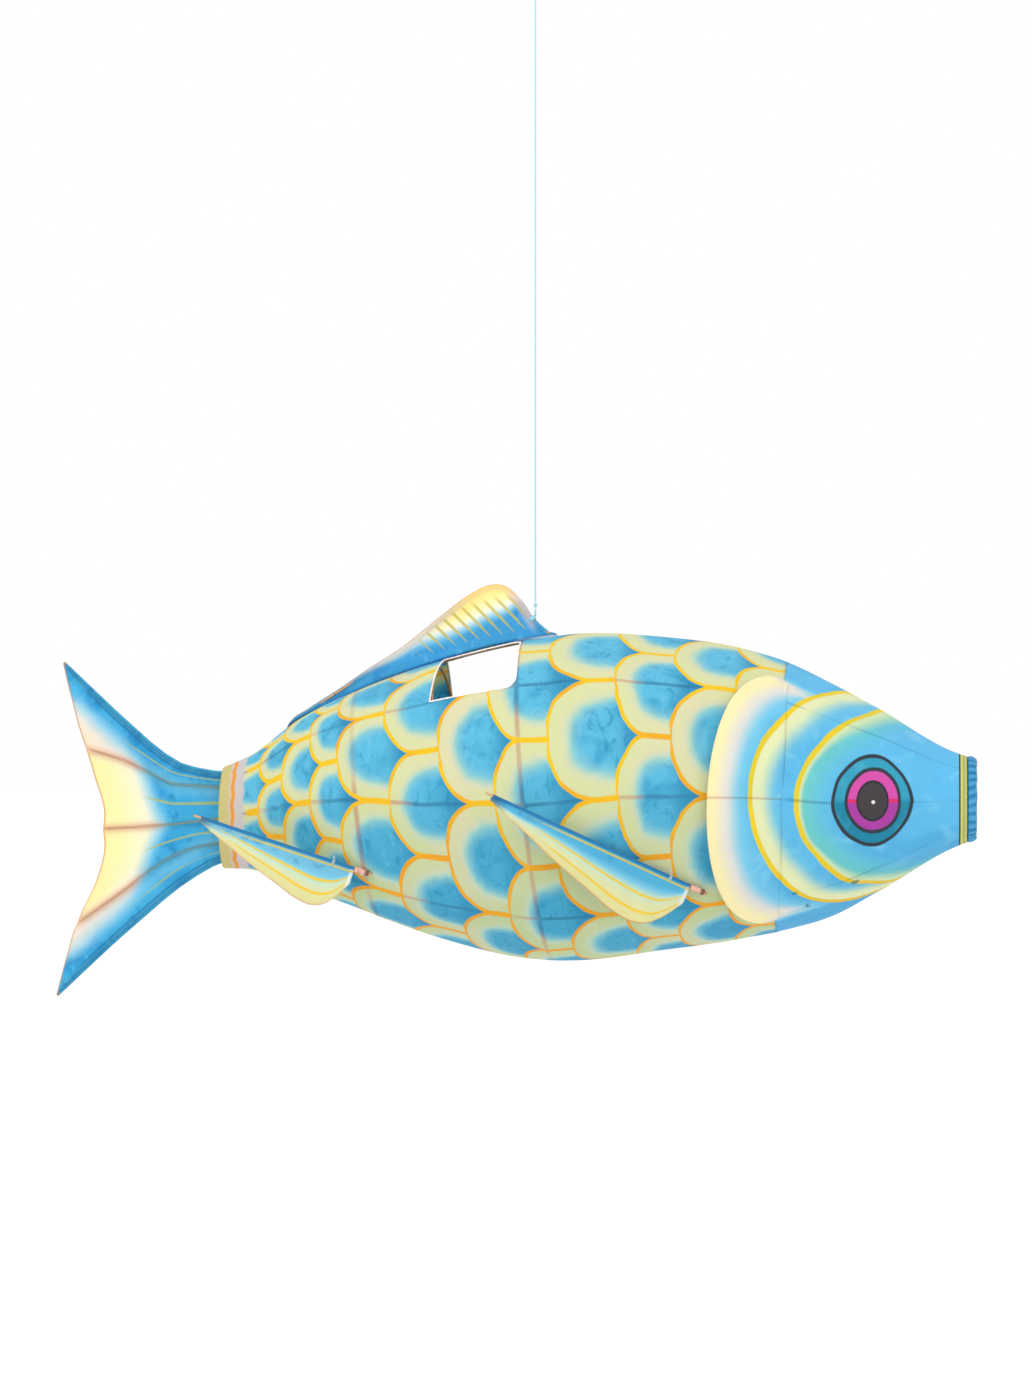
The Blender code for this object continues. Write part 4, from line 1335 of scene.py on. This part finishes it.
def make_dorsal(bamboo, cord_finish):
    shares = np.linspace(-DORSAL_TAPER, 1.0 + DORSAL_TAPER, 158)
    tie_share = (DORSAL_FRONT - TIE_STATION) / DORSAL_LENGTH
    extra = tie_share + np.array((-6.0, -5.2, -4.4, -3.8, 3.8, 4.4, 5.2, 6.0)) * 0.001 / DORSAL_LENGTH
    shares = np.unique(np.concatenate([shares, extra]))
    bow = dorsal_point(shares)
    slope = np.gradient(bow[:, 2], bow[:, 0])
    lean = np.hypot(1, slope)
    radius = BOW_D / 2 + WRAP
    ridge = ridge_height(bow[:, 0])
    foot = ridge + 0.0001
    cinch = 1 - np.clip((np.abs(bow[:, 0] - TIE_STATION) - 0.0022) / 0.0016, 0, 1)
    radius = radius - 0.0004 * cinch
    top = bow[:, 2] + radius * lean
    past = np.minimum(shares, 1 - shares) / DORSAL_TAPER + 1
    taper = np.sqrt(np.clip(past, 0, 1))
    top = foot + 0.0002 + (top - foot) * taper
    height = top - foot
    near = np.array((0, 0.0002, 0.0006, 0.0012, 0.0021, 0.0032, 0.0046, 0.0062, 0.0082))
    rows = []
    for j in range(len(near)):
        rows.append(np.minimum(near[j] * lean, height * 0.9 * j / len(near)))
    for t in np.linspace(0, 1, 20)[1:]:
        rows.append(rows[len(near) - 1] * (1 - t) + height * t)
    down = np.array(rows)
    z = top - down
    x = np.broadcast_to(bow[:, 0], z.shape)
    inward = (bow[:, 2] - z) / lean
    half = wrap_half(inward, radius, 0.0028)
    half = (half + 0.0007 * np.exp(-(((z - foot) / 0.0022) ** 2))) * (0.25 + 0.75 * taper)
    billow = 0.0016 * np.sin(x * 55) * np.sin(math.pi * np.clip((z - foot) / np.maximum(height, 1e-6), 0, 1))
    middle = np.stack([x, billow, z], -1)
    attributes = {
        "fin": three(x, z - ridge, down / lean),
        "cloth": three(x, z),
    }
    fin = pillow("dorsal_fin_cloth", middle, half, RIGHT, "fish", attributes)
    dressed(fin, dorsal_paint(), "dorsal_cloth", "dorsal_fin_skin")
    bow = dorsal_point(np.linspace(1, 0, 90))
    rod_piece("dorsal_bow_cane", bow, BOW_D * 0.98, bamboo, "fish", "dorsal_bow", None, seed=3)
    centre = dorsal_point(np.array(tie_share))
    along = unit(dorsal_point(np.array(tie_share + 0.01)) - dorsal_point(np.array(tie_share - 0.01)))
    up = unit(np.array((0, 0, 1.0)) - along * along[2])
    side = np.cross(along, up)
    path = []
    loops = 3
    ring = BOW_D / 2 + GAP + CORD_D / 2
    for a in np.linspace(0, 2 * math.pi * loops, 28 * loops):
        slide = (a / (2 * math.pi * loops) - 0.5) * CORD_D * 1.02 * (loops - 1)
        path.append(centre + along * slide + ring * (up * math.cos(a) + side * math.sin(a)))
    lashing = mesh_piece("bow_lashing_wraps", *cord_tube(path), "fish")
    dressed(lashing, cord_finish, "cord", "bow_lashing")


def dorsal_paint():
    paint = Paint("painted_dorsal")
    x, height, edge = paint.attribute("fin")
    drift = (paint.noise(18, 2.0) - 0.5) * 0.010
    level = height + drift - (x + 0.085).rise(0.0, 0.045) * 0.009 - (x + 0.035).rise(0.0, 0.035) * 0.018
    blue = paint.layers(
        colour("4DB2E2"),
        ("3AA0D8", paint.noise(26, 3.0, 1.2).rise(0.48, 0.64) * 0.8),
        ("2384C0", height.fall(0.001, 0.005) * 0.8),
        ("7CCDEE", paint.noise(50, 3.0, 1.6).rise(0.56, 0.70) * 0.5),
    )
    base = paint.layers(
        blue,
        ("8AD2EC", level.rise(0.013, 0.022) * 0.8),
        ("F2F4EE", level.rise(0.018, 0.030)),
        ("FBF2C4", level.rise(0.026, 0.036)),
        ("FDEDA0", level.rise(0.032, 0.046) * 0.9),
    )
    rear = (-0.060 - x).rise(0.0, 0.04)
    base = paint.layers(base, ("EFEAE0", edge.fall(0.003, 0.010) * rear * height.rise(0.010, 0.020) * 0.8))
    front = (x + 0.030).rise(0.0, 0.012) * (x + 0.006).fall(0.0, 0.01)
    base = paint.layers(base, ("F3D9D2", edge.fall(0.004, 0.012) * front * 0.7))
    slant = x + height * 0.80 + 0.0065
    ray = ((slant / 0.0118).wave(1.0) - 1) * 0.0059
    reach = height.rise(0.010, 0.028) * 0.0012 + 0.0001
    zone = height.rise(0.009, 0.013) * height.fall(0.042, 0.054) * edge.rise(0.002, 0.008)
    zone = zone * (x + 0.125).rise(0.0, 0.02) * (x + 0.012).fall(0.0, 0.008)
    base = paint.layers(base, ("D5C868", (1 - abs(ray).rise(reach, reach + 0.0006)) * zone * 0.85))
    base = paint.layers(base, ("E9E2DE", height.fall(0.0006, 0.0022) * (x + 0.030).rise(0.0, 0.02) * 0.8))
    base = paint.layers(
        base,
        ("F4B860", edge.fall(0.0012, 0.0026) * height.rise(0.040, 0.052) * 0.55),
        # Painted shade: the bow seen through the cloth along the rear of the top edge.
        ("C9A79C", edge.fall(0.0012, 0.0024) * rear * 0.5),
    )
    return paint.cloth(base)


# Tail

TAIL_ROD_D = 0.0045
TAIL_LENGTH = 0.190
TAIL_SPAN = 0.345
TAIL_MIDDLE = -0.034
TAIL_HINGE = PEDUNCLE_STATION
TAIL_ROOT = HEM_STATION + 0.013
TAIL_SPAR_INSET = 0.003
TAIL_TOP_EDGE = ((0.18, 0.180), (0.34, 0.205), (0.42, 0.234), (0.59, 0.313), (0.92, 0.480))
TAIL_BOTTOM_EDGE = ((0.18, -0.122), (0.34, -0.179), (0.50, -0.253), (0.67, -0.334), (0.96, -0.482))
TAIL_UPPER_TIP = (0.963, 0.500)
TAIL_LOWER_TIP = (1.000, -0.500)
TAIL_TRAILING_EDGE = (
    (0.919, 0.411), (0.836, 0.248), (0.781, 0.145), (0.732, 0.041), (0.736, 0.0),
    (0.727, -0.048), (0.781, -0.166), (0.875, -0.273), (0.947, -0.389),
)
TAIL_RAYS = (
    ((0.06, -0.035), (0.22, -0.050), (0.40, -0.092), (0.63, -0.185), (0.85, -0.268)),
    ((0.14, 0.030), (0.36, 0.016), (0.71, 0.002)),
    ((0.08, 0.127), (0.36, 0.135), (0.49, 0.172), (0.63, 0.207), (0.80, 0.233)),
)


def tail_guides():
    """Rows of (back, up) for the lower spar, the three rays and the upper spar."""
    hoop = HOOPS["peduncle_hoop"][2]
    seat = hoop / 2 + 2 * GAP + TAIL_ROD_D / 2
    upper = float(ring_point(TAIL_HINGE, 0.0, hoop_depth(hoop))[2]) - seat
    lower = float(ring_point(TAIL_HINGE, 180.0, hoop_depth(hoop))[2]) + seat
    past = (TAIL_ROOT - TAIL_HINGE + hoop) / TAIL_LENGTH
    inset = TAIL_SPAR_INSET / TAIL_SPAN
    top = [(0.0, (upper - TAIL_MIDDLE) / TAIL_SPAN), (past, (upper - TAIL_MIDDLE) / TAIL_SPAN)]
    top += [(back, up - inset) for back, up in TAIL_TOP_EDGE]
    bottom = [(0.0, (lower - TAIL_MIDDLE) / TAIL_SPAN), (past, (lower - TAIL_MIDDLE) / TAIL_SPAN)]
    bottom += [(back, up + inset) for back, up in TAIL_BOTTOM_EDGE]
    return [rod_line(rows) for rows in (bottom, *TAIL_RAYS, top)]


def rod_line(rows):
    """The rod's own points along the curve through the rows."""
    backs = [rows[0][0], *np.linspace(rows[1][0], rows[-1][0], 11)]
    return [(float(back), float(smooth(rows, back))) for back in backs]


def along_line(rows, back):
    """Height on the line of a rod, straight on past its ends."""
    (a, b), (c, d) = rows[0], rows[1]
    (e, f), (g, h) = rows[-2], rows[-1]
    low = b + (back - a) * (d - b) / (c - a)
    high = h + (back - g) * (h - f) / (g - e)
    return np.where(back < a, low, np.where(back > g, high, straight(rows, back)))


def fan_height(guides, back, fan):
    """Height share of the fan line: 0 the lower spar, 1 to 3 the rays, 4 the upper spar."""
    heights = [along_line(rows, back) for rows in guides]
    lower = np.clip(np.floor(fan).astype(int), 0, 3)
    part = fan - lower
    stacked = np.stack(np.broadcast_arrays(*heights))
    low = np.take_along_axis(stacked, lower[None], 0)[0]
    high = np.take_along_axis(stacked, lower[None] + 1, 0)[0]
    return low + (high - low) * part


def fan_gap(guides, back, fan):
    """Height between a fan line and the next one up."""
    low, high = (fan_height(guides, np.array(back), np.array(line)) for line in (fan, fan + 1))
    return float(TAIL_SPAN * (high - low))


def fan_ends(guides):
    """How far back the trailing edge lies on each fan line."""
    rows = []
    for back, up in TAIL_TRAILING_EDGE:
        heights = [float(along_line(line, back)) for line in guides]
        rows.append((float(np.interp(up, heights, range(5))), back))
    ends = [(0.0, TAIL_LOWER_TIP[0] - 0.006), *sorted(rows), (4.0, TAIL_UPPER_TIP[0] - 0.006)]
    return ends


def make_tail(bamboo):
    guides = tail_guides()
    ends = fan_ends(guides)
    radius = TAIL_ROD_D / 2 + 0.00045
    steps = np.concatenate([[0, 0.004], np.linspace(0.012, 0.95, 74), (0.965, 0.98, 0.992, 1.0)])
    first = np.array((0.0, 0.0016, 0.0030, 0.0046, 0.0066, 0.0090))
    inner = np.linspace(0, 1, 78)[1:-1] * 4
    rows, fans = [], []
    for u in steps:
        low = np.minimum(first / fan_gap(guides, u * 0.95, 0.0), np.arange(6) * 0.08)
        high = 4 - np.minimum(first / fan_gap(guides, u * 0.95, 3.0), np.arange(6) * 0.08)
        between = low[-1] + (high[-1] - low[-1]) * inner / 4
        fan = np.concatenate([low, between, high[::-1]])
        back = u * smooth(ends, fan)
        up = fan_height(guides, back, fan)
        rear = TAIL_ROOT + 0.0012 - back * (TAIL_LENGTH + 0.0012)
        rows.append(np.stack([rear, TAIL_MIDDLE + up * TAIL_SPAN], -1))
        fans.append(fan)
    grid = np.array(rows)
    fan = np.array(fans)
    grid, fan, outer = with_wraps(grid, fan, radius)
    x, z = grid[..., 0], grid[..., 1]
    back = (TAIL_ROOT - x) / TAIL_LENGTH
    u = np.broadcast_to(steps[:, None], x.shape)
    rod_gap = np.full(x.shape, 1.0)
    for line in guides:
        gap = np.abs(above_line(x, z, line))
        start = line[0][0] - 0.02
        finish = line[-1][0] + 0.01
        beyond = np.maximum(np.maximum(start - back, back - finish), 0) * TAIL_LENGTH
        rod_gap = np.minimum(rod_gap, np.hypot(gap, beyond))
    half = 0.0004 + (radius - 0.0004) * np.exp(-((rod_gap / 0.0034) ** 2))
    half = np.where(outer > 0, np.sqrt(np.maximum(radius**2 - outer**2, 0)), half)
    half = np.minimum(half, 0.0006 + (1 - u) * 0.30) * np.where(u > 0.985, 0.6, 1)
    loose = np.sin(math.pi * (fan % 1)) * np.clip(u - 0.15, 0, 1) ** 1.5
    sway = np.array((1, -1, 1, -1))[np.clip(fan.astype(int), 0, 3)]
    ripple = 0.0012 * np.sin(z * 130 + 2) * np.clip(u - 0.6, 0, 1) * np.sin(math.pi * (fan % 1))
    flutter = 0.0035 * loose * sway + ripple
    middle = np.stack([x, flutter, z], -1)
    rim = np.minimum(above_line(x, z, guides[0]), -above_line(x, z, guides[4])) + TAIL_ROD_D / 2
    tips = []
    for tip_back, tip_up in (TAIL_UPPER_TIP, TAIL_LOWER_TIP):
        tips.append(np.hypot(x - TAIL_ROOT + tip_back * TAIL_LENGTH, z - TAIL_MIDDLE - tip_up * TAIL_SPAN))
    end_gap = (1 - u) * smooth(ends, fan) * TAIL_LENGTH
    attributes = {
        "fan": three(fan, back, end_gap),
        "rim": three(rim, rod_gap, np.minimum(*tips)),
        "cloth": three(x, z),
    }
    tail = pillow("tail_cloth", middle, half, RIGHT, "tail", attributes)
    dressed(tail, tail_paint(), "tail_cloth", "tail_skin_right", "tail_skin_left")
    rods = ["tail_upper_spar", "tail_lower_spar", "tail_upper_ray", "tail_middle_ray", "tail_lower_ray"]
    for name in rods:
        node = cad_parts[name]
        node.data.materials.clear()
        node.data.materials.append(bamboo)


def above_line(x, z, rows):
    """Distance up from a rod's line, measured square to it."""
    back = (TAIL_ROOT - x) / TAIL_LENGTH
    slope = (along_line(rows, back + 0.01) - along_line(rows, back - 0.01)) / 0.02
    return (z - TAIL_MIDDLE - along_line(rows, back) * TAIL_SPAN) / np.hypot(
        1, slope * TAIL_SPAN / TAIL_LENGTH
    )


def with_wraps(grid, fan, radius):
    """Adds the columns that fold round the two outer spars, square to them."""
    offsets = radius * np.array((1.0, 0.97, 0.86, 0.66, 0.36))
    columns = []
    for edge, sign in ((grid[:, 0], -1), (grid[:, -1], 1)):
        tangent = unit(np.gradient(edge, axis=0))
        square = np.stack([tangent[:, 1], -tangent[:, 0]], -1) * -sign
        square *= np.where(square[:, 1:] * sign < 0, -1, 1)
        columns.append([edge + square * offset for offset in offsets])
    low = np.stack(columns[0], 1)
    high = np.stack(columns[1][::-1], 1)
    rows = len(grid)
    grid = np.concatenate([low, grid, high], 1)
    fan = np.concatenate([np.zeros((rows, 5)), fan, np.full((rows, 5), 4.0)], 1)
    outer = np.zeros(fan.shape)
    outer[:, :5] = offsets
    outer[:, -5:] = offsets[::-1]
    return grid, fan, outer


def tail_paint():
    paint = Paint("painted_tail")
    fan, back, end_gap = paint.attribute("fan")
    rim, rod_gap, tip = paint.attribute("rim")
    drift = (paint.noise(12, 2.0) - 0.5) * 0.08
    off_middle = abs(fan - 2)
    start = back + drift - off_middle * 0.10
    blue = paint.layers(
        colour("48B6DE"),
        ("2A9FD2", paint.noise(20, 3.0, 1.0).rise(0.45, 0.62) * 0.80),
        ("1F8CC0", paint.noise(44, 3.0, 1.8).rise(0.56, 0.68) * 0.6),
        ("6FCBEA", paint.noise(30, 3.0, 1.4).rise(0.58, 0.72) * 0.5),
    )
    lobe = off_middle.rise(0.85, 1.15)
    pale = paint.layers(
        colour("F0EDDC"),
        ("F5EBB4", end_gap.fall(0.004, 0.060) * (1 - lobe)),
        (
            "F6E9A6",
            end_gap.fall(0.0, 0.030) * lobe * (fan - 3).rise(0.0, 0.1) * 0.8 * (fan - 3.2).fall(0.0, 0.3),
        ),
        ("EADFD8", lobe * 0.7),
    )
    base = paint.layers(
        blue,
        ("7CD0EA", start.rise(0.33, 0.42) * 0.8),
        (pale, start.rise(0.37, 0.50)),
    )
    streak = paint.noise(1.0, 2.0, 0.5, paint.stretched(14, 14, 60))
    band = rim + (streak - 0.5) * 0.006 + (paint.noise(22, 2.0) - 0.5) * 0.006
    base = paint.layers(
        base,
        ("BFE3EE", band.fall(0.014, 0.026) * start.rise(0.33, 0.50) * 0.7),
        ("84CFE6", band.fall(0.016, 0.036) * 0.75),
        (blue, band.fall(0.009, 0.024)),
        ("1F78B4", (rim - 0.0062).band(0.0014, 0.0009) * 0.6),
    )
    tips = tip + (paint.noise(60, 2.0) - 0.5) * 0.014
    base = paint.layers(base, (blue, tips.fall(0.030, 0.052)), ("8796A0", tip.fall(0.004, 0.012) * 0.8))
    spread = fan + (paint.noise(16, 1.0) - 0.5) * 0.10
    halves = (spread + 0.5).wave(1.0)
    near = abs(spread.wave(1.0) - 1).least(abs(halves - 1))
    wide = 0.030 + back.fall(0.05, 0.40) * 0.045
    away = off_middle.rise(1.55, 1.75)
    lines = near.fall(wide, wide + 0.05) * start.fall(0.36, 0.50) * (1 - away)
    lines = lines * paint.noise(10, 1.0).rise(0.25, 0.45)
    base = paint.layers(base, ("B9C27C", lines * 0.85))
    # Painted shade and light: the rods seen through the cloth, pinkish-brown on the pale paint and darker
    # blue on the blue, with a painted warm glow beside them on the pale.
    rod = rod_gap.fall(0.0008, 0.0024)
    pale_rod = start.rise(0.36, 0.48) * rim.rise(0.010, 0.016)
    base = paint.mix(base, colour("B9846F"), rod * pale_rod * 0.75)
    base = paint.mix(base, colour("2F78A8"), rod * (1 - pale_rod) * 0.5)
    glow = rod_gap.fall(0.002, 0.007) * pale_rod * 0.4
    base = paint.layers(base, ("F0B888", glow), ("E0A050", end_gap.fall(0.0009, 0.0022) * 0.75))
    return paint.cloth(base)


# Paired fins

FIN_SHAPE = (
    (0, 0.30), (0.04, 0.56), (0.10, 0.86), (0.18, 1.0), (0.28, 0.98), (0.42, 0.82), (0.62, 0.58),
    (0.82, 0.30), (1, 0.05),
)
SPAR_D = 0.003
SLEEVE_D = 0.006
SLEEVE_LENGTH = 0.014
SPAR_BUTT = 0.003
# Station, turn, reach to the tip, cloth length and width
FINS = {
    "pectoral": (0.170, 126, (-0.196, 0.062, 0.094), 0.212, 0.052),
    "pelvic": (-0.161, 125, (-0.165, 0.020, 0.055), 0.160, 0.045),
}


def hinge_place(name, word):
    """Middle of a fin's sleeve, where its hinge is."""
    low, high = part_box(f"{name}_sleeve_{word}")
    return (np.array(low) + np.array(high)) / 2 - FISH


def fin_frame(name, station, turn, tip_offset, side):
    """Origin in the sleeve, direction along the spar, down the cloth, square to both, and reach."""
    reach = np.array(tip_offset) * (1, -side, 1)
    along = unit(reach)
    out = outward(np.array(station), side * float(turn))
    root = hinge_place(name, "right" if side > 0 else "left")
    down = np.array((0, 0, -1.0))
    down = unit(down - along * along.dot(down))
    return root, along, down, np.cross(along, down), float(np.linalg.norm(reach)), out


def make_fins(bamboo, thread):
    for name, (station, turn, tip, length, width) in FINS.items():
        finish = fin_paint(name)
        for side, word in SIDES:
            make_fin(
                name, word, fin_frame(name, station, turn, tip, side), length, width, finish, bamboo,
                thread,
            )


def make_fin(name, word, layout, length, width, finish, bamboo, thread):
    root, along, down, normal, reach, out = layout
    body = f"{name}_{word}"
    away = 1.0 if normal.dot(out) > 0 else -1.0
    radius = SPAR_D / 2 + 0.0005
    start = SLEEVE_LENGTH / 2 + 2 * GAP
    shares = np.concatenate([[0, 0.006, 0.014], np.linspace(0.025, 1.0, 84)])
    across = SPAR_D / 2 + GAP + smooth(FIN_SHAPE, shares) * width
    near = radius * np.array((-1.0, -0.97, -0.86, -0.66, -0.36, 0.0, 0.5, 1.0, 1.6, 2.4, 3.4))
    rows = [np.minimum(np.full(len(shares), step), across * 0.7) for step in near]
    for t in np.linspace(0, 1, 22)[1:]:
        rows.append(rows[len(near) - 1] * (1 - t) + across * t)
    y = np.array(rows)
    share = np.broadcast_to(shares, y.shape)
    x = start + share * length
    half = wrap_half(y, radius, 0.0026, 0.0004)
    lap = np.clip(y / across, 0, 1)
    hem = np.minimum(across - y, share * length)
    half = half + 0.0004 * np.exp(-((hem / 0.0012) ** 2))
    billow = away * (0.0045 * np.sin(math.pi * lap * 0.8) * np.sin(math.pi * np.clip(share, 0, 1)) ** 0.7)
    billow = billow + 0.0006 * np.sin(x * 260 + y * 90) * lap
    place = x[..., None] * along + y[..., None] * down + billow[..., None] * normal
    edge_gap = np.minimum(np.minimum(across - y, share * length), (1 - share) * length + 0.004)
    attributes = {
        "fin": three(share, lap, y),
        "rim": three(edge_gap, share * length, across),
        "cloth": three(x, y),
    }
    skin = pillow(f"{name}_cloth_{word}", place, half, normal, body, attributes, FISH + root)
    dressed(skin, finish, "fin_cloth", f"{name}_skin_{word}")
    run = np.linspace(-SLEEVE_LENGTH / 2 - SPAR_BUTT, reach, 60)
    path = root + run[:, None] * along
    ups = np.broadcast_to(normal * away, path.shape)
    rod_piece(
        f"{name}_spar_cane_{word}", path, SPAR_D * 0.97, bamboo, body, f"{name}_spar_{word}", ups,
        taper=0.25, seed=len(name),
    )
    sleeve_piece(name, word, root, along, normal)
    wraps = []
    for step in (0.021, 0.0225):
        angles = circle(20)
        ring = radius + 0.0003
        arms = [ring * (math.cos(a) * down + math.sin(a) * normal) for a in angles]
        loop = [root + along * (start + step) + arm for arm in arms]
        wraps.append(sweep(loop, disc(0.00035, 6), True))
    tails = [np.array((0, -1.0, 0.6)), np.array((0.4, -1.0, -0.5))]
    for aim in tails:
        base = root + along * (start + 0.0217) - down * (radius + 0.0003)
        step = unit(aim[0] * along + aim[1] * down + aim[2] * normal)
        end = [base + step * t + along * t * t * 60 for t in np.linspace(0, 0.004, 6)]
        wraps.append(sweep(end, disc(0.0003, 5)))
    knot = mesh_piece(f"{name}_thread_{word}", *joined(wraps), body)
    dressed(knot, thread, "cord")


def sleeve_piece(name, word, root, along, normal):
    """The short soft tube, sewn to the body, in which a fin's spar turns."""
    end = SLEEVE_LENGTH / 2
    outer, bore = SLEEVE_D / 2, SPAR_D / 2 + 0.0003
    profile = [
        (-end, bore + 0.0003), (-end + 0.0003, bore), (0.0, bore), (end - 0.0003, bore),
        (end, bore + 0.0003), (end, outer - 0.0004), (end - 0.0004, outer), (end * 0.5, outer - 0.00015),
        (0.0, outer - 0.0003), (-end * 0.5, outer - 0.00015), (-end + 0.0004, outer),
        (-end, outer - 0.0004),
    ]
    side = np.cross(normal, along)
    count = 36
    points = []
    for x, r in profile:
        for a in circle(count):
            points.append(root + along * x + r * (math.cos(a) * normal + math.sin(a) * side))
    faces = []
    for i in range(len(profile)):
        k = (i + 1) % len(profile)
        for j in range(count):
            m = (j + 1) % count
            faces.append((i * count + j, k * count + j, k * count + m, i * count + m))
    place = three(np.repeat([x for x, _ in profile], count), 0.0)
    sleeve = mesh_piece(f"{name}_tube_{word}", points, faces, "fish", {"tube": place})
    dressed(sleeve, SLEEVE_FINISH, "sleeve_plastic", f"{name}_sleeve_{word}")


def sleeve_paint():
    paint = Paint("soft_tube")
    along, _, _ = paint.attribute("tube")
    base = paint.layers(
        colour("D8A08C"),
        ("B9745C", paint.noise(220, 3.0).rise(0.45, 0.62) * 0.7),
        ("F0CFC2", paint.noise(500, 2.0).rise(0.58, 0.68) * 0.5),
        ("4E2F2A", along.fall(-0.0045, -0.0015) * 0.85),
    )
    return paint.solid(
        base, paint.noise(300, 2.0) * 0.2 + 0.4, paint.noise(700, 2.0), 0.25, 0.0002, Subsurface_Weight=0.1,
    )


def fin_paint(name):
    """Dark along the spar, then blue to pale yellow across the cloth, with drawn lines."""
    paint = Paint(f"painted_{name}")
    share, lap, y = paint.attribute("fin")
    edge, run, _ = paint.attribute("rim")
    drift = (paint.noise(20, 2.0) - 0.5) * 0.10
    level = lap + drift + share.rise(0.70, 1.0) * -0.25
    first = name == "pectoral"
    base = paint.layers(
        colour("5CBCDE") if first else colour("80C6E0"),
        ("2A92C4", paint.noise(60, 3.0, 1.4).rise(0.54, 0.70) * 0.4),
        ("8ED6EA", level.rise(0.22, 0.40) * 0.8),
        ("D3E4CC", level.rise(0.34, 0.52)),
        ("E3E3B4", level.rise(0.50, 0.70)),
        ("E6DFA0", level.rise(0.68, 0.92) * 0.7),
    )
    wave = (paint.noise(30, 1.0) - 0.5) * 0.04
    marks = (
        (0.51, 0.022, 0.70), (0.80, 0.025, 0.62)
    ) if first else ((0.45, 0.030, 0.85), (0.74, 0.030, 0.70))
    for middle, wide, end in marks:
        line = (lap + wave + share * 0.06 - middle).band(wide, 0.012) * share.fall(end, end + 0.12)
        base = paint.layers(base, ("F2D23A", line * 0.95))
    base = paint.layers(
        base,
        ("F0F4F2", run.fall(0.002, 0.005) * 0.85),
        ("2E86BE", y.fall(0.0004, 0.0024)),
        ("EFD040", (y - 0.0036).band(0.0008, 0.0005) * share.fall(0.55, 0.85) * 0.95),
        ("2C6F9E" if first else "4F7C98", share.rise(0.90, 0.99) * 0.8),
        (
            "F0BE78" if first else "F2C4A0",
            edge.fall(0.0006, 0.0019) * share.fall(0.80, 0.95) * run.rise(0.001, 0.004) * 0.85,
        ),
    )
    return paint.cloth(base)


# Loose stitches on the head: x and turn of each

STITCHES = ((0.274, 146), (0.318, 139), (0.3215, 139.5), (0.2495, 45), (0.262, 135))


def make_stitches():
    """Short threads where the flap and the lining are sewn to the frame."""
    dark = Paint("dark_thread")
    fibres = dark.noise(1500, 2.0)
    dark_finish = dark.solid(
        dark.layers(colour("2B8A86"), ("1C5F66", fibres.rise(0.4, 0.6) * 0.8)), 0.75, fibres, 0.3, 0.0002,
    )
    draw = random.Random(11)
    for number, (x, turn) in enumerate(STITCHES):
        for side, word in SIDES:
            x_at, turn_at = np.array(x), side * float(turn)
            out = outward(x_at, turn_at)
            base = on_surface(x_at, turn_at) - out * 0.0004
            along = unit(on_surface(x_at + 0.001, turn_at) - on_surface(x_at - 0.001, turn_at))
            around = np.cross(out, along)
            shapes = []
            for _ in range(3):
                aim = unit(along * draw.uniform(-1, 1) + around * draw.uniform(-1, 1))
                runs = np.linspace(-0.0025, 0.0025, 9)
                path = [base + aim * t + out * 0.0011 * math.sin(math.pi * (t / 0.005 + 0.5)) for t in runs]
                shapes.append(sweep(path, disc(0.0003, 6)))
            stitch = mesh_piece(f"head_stitch_{number}_{word}", *joined(shapes), "fish")
            dressed(stitch, dark_finish, "cord")


make_body()
make_head()
BAMBOO = bamboo_paint()
SLEEVE_FINISH = sleeve_paint()
make_gills(BAMBOO)
make_rods(BAMBOO)
THREAD = make_lashings()
make_lip()
make_dorsal(BAMBOO, CORD_FINISH)
make_tail(BAMBOO)
make_fins(BAMBOO, THREAD)
make_stitches()
make_stage()
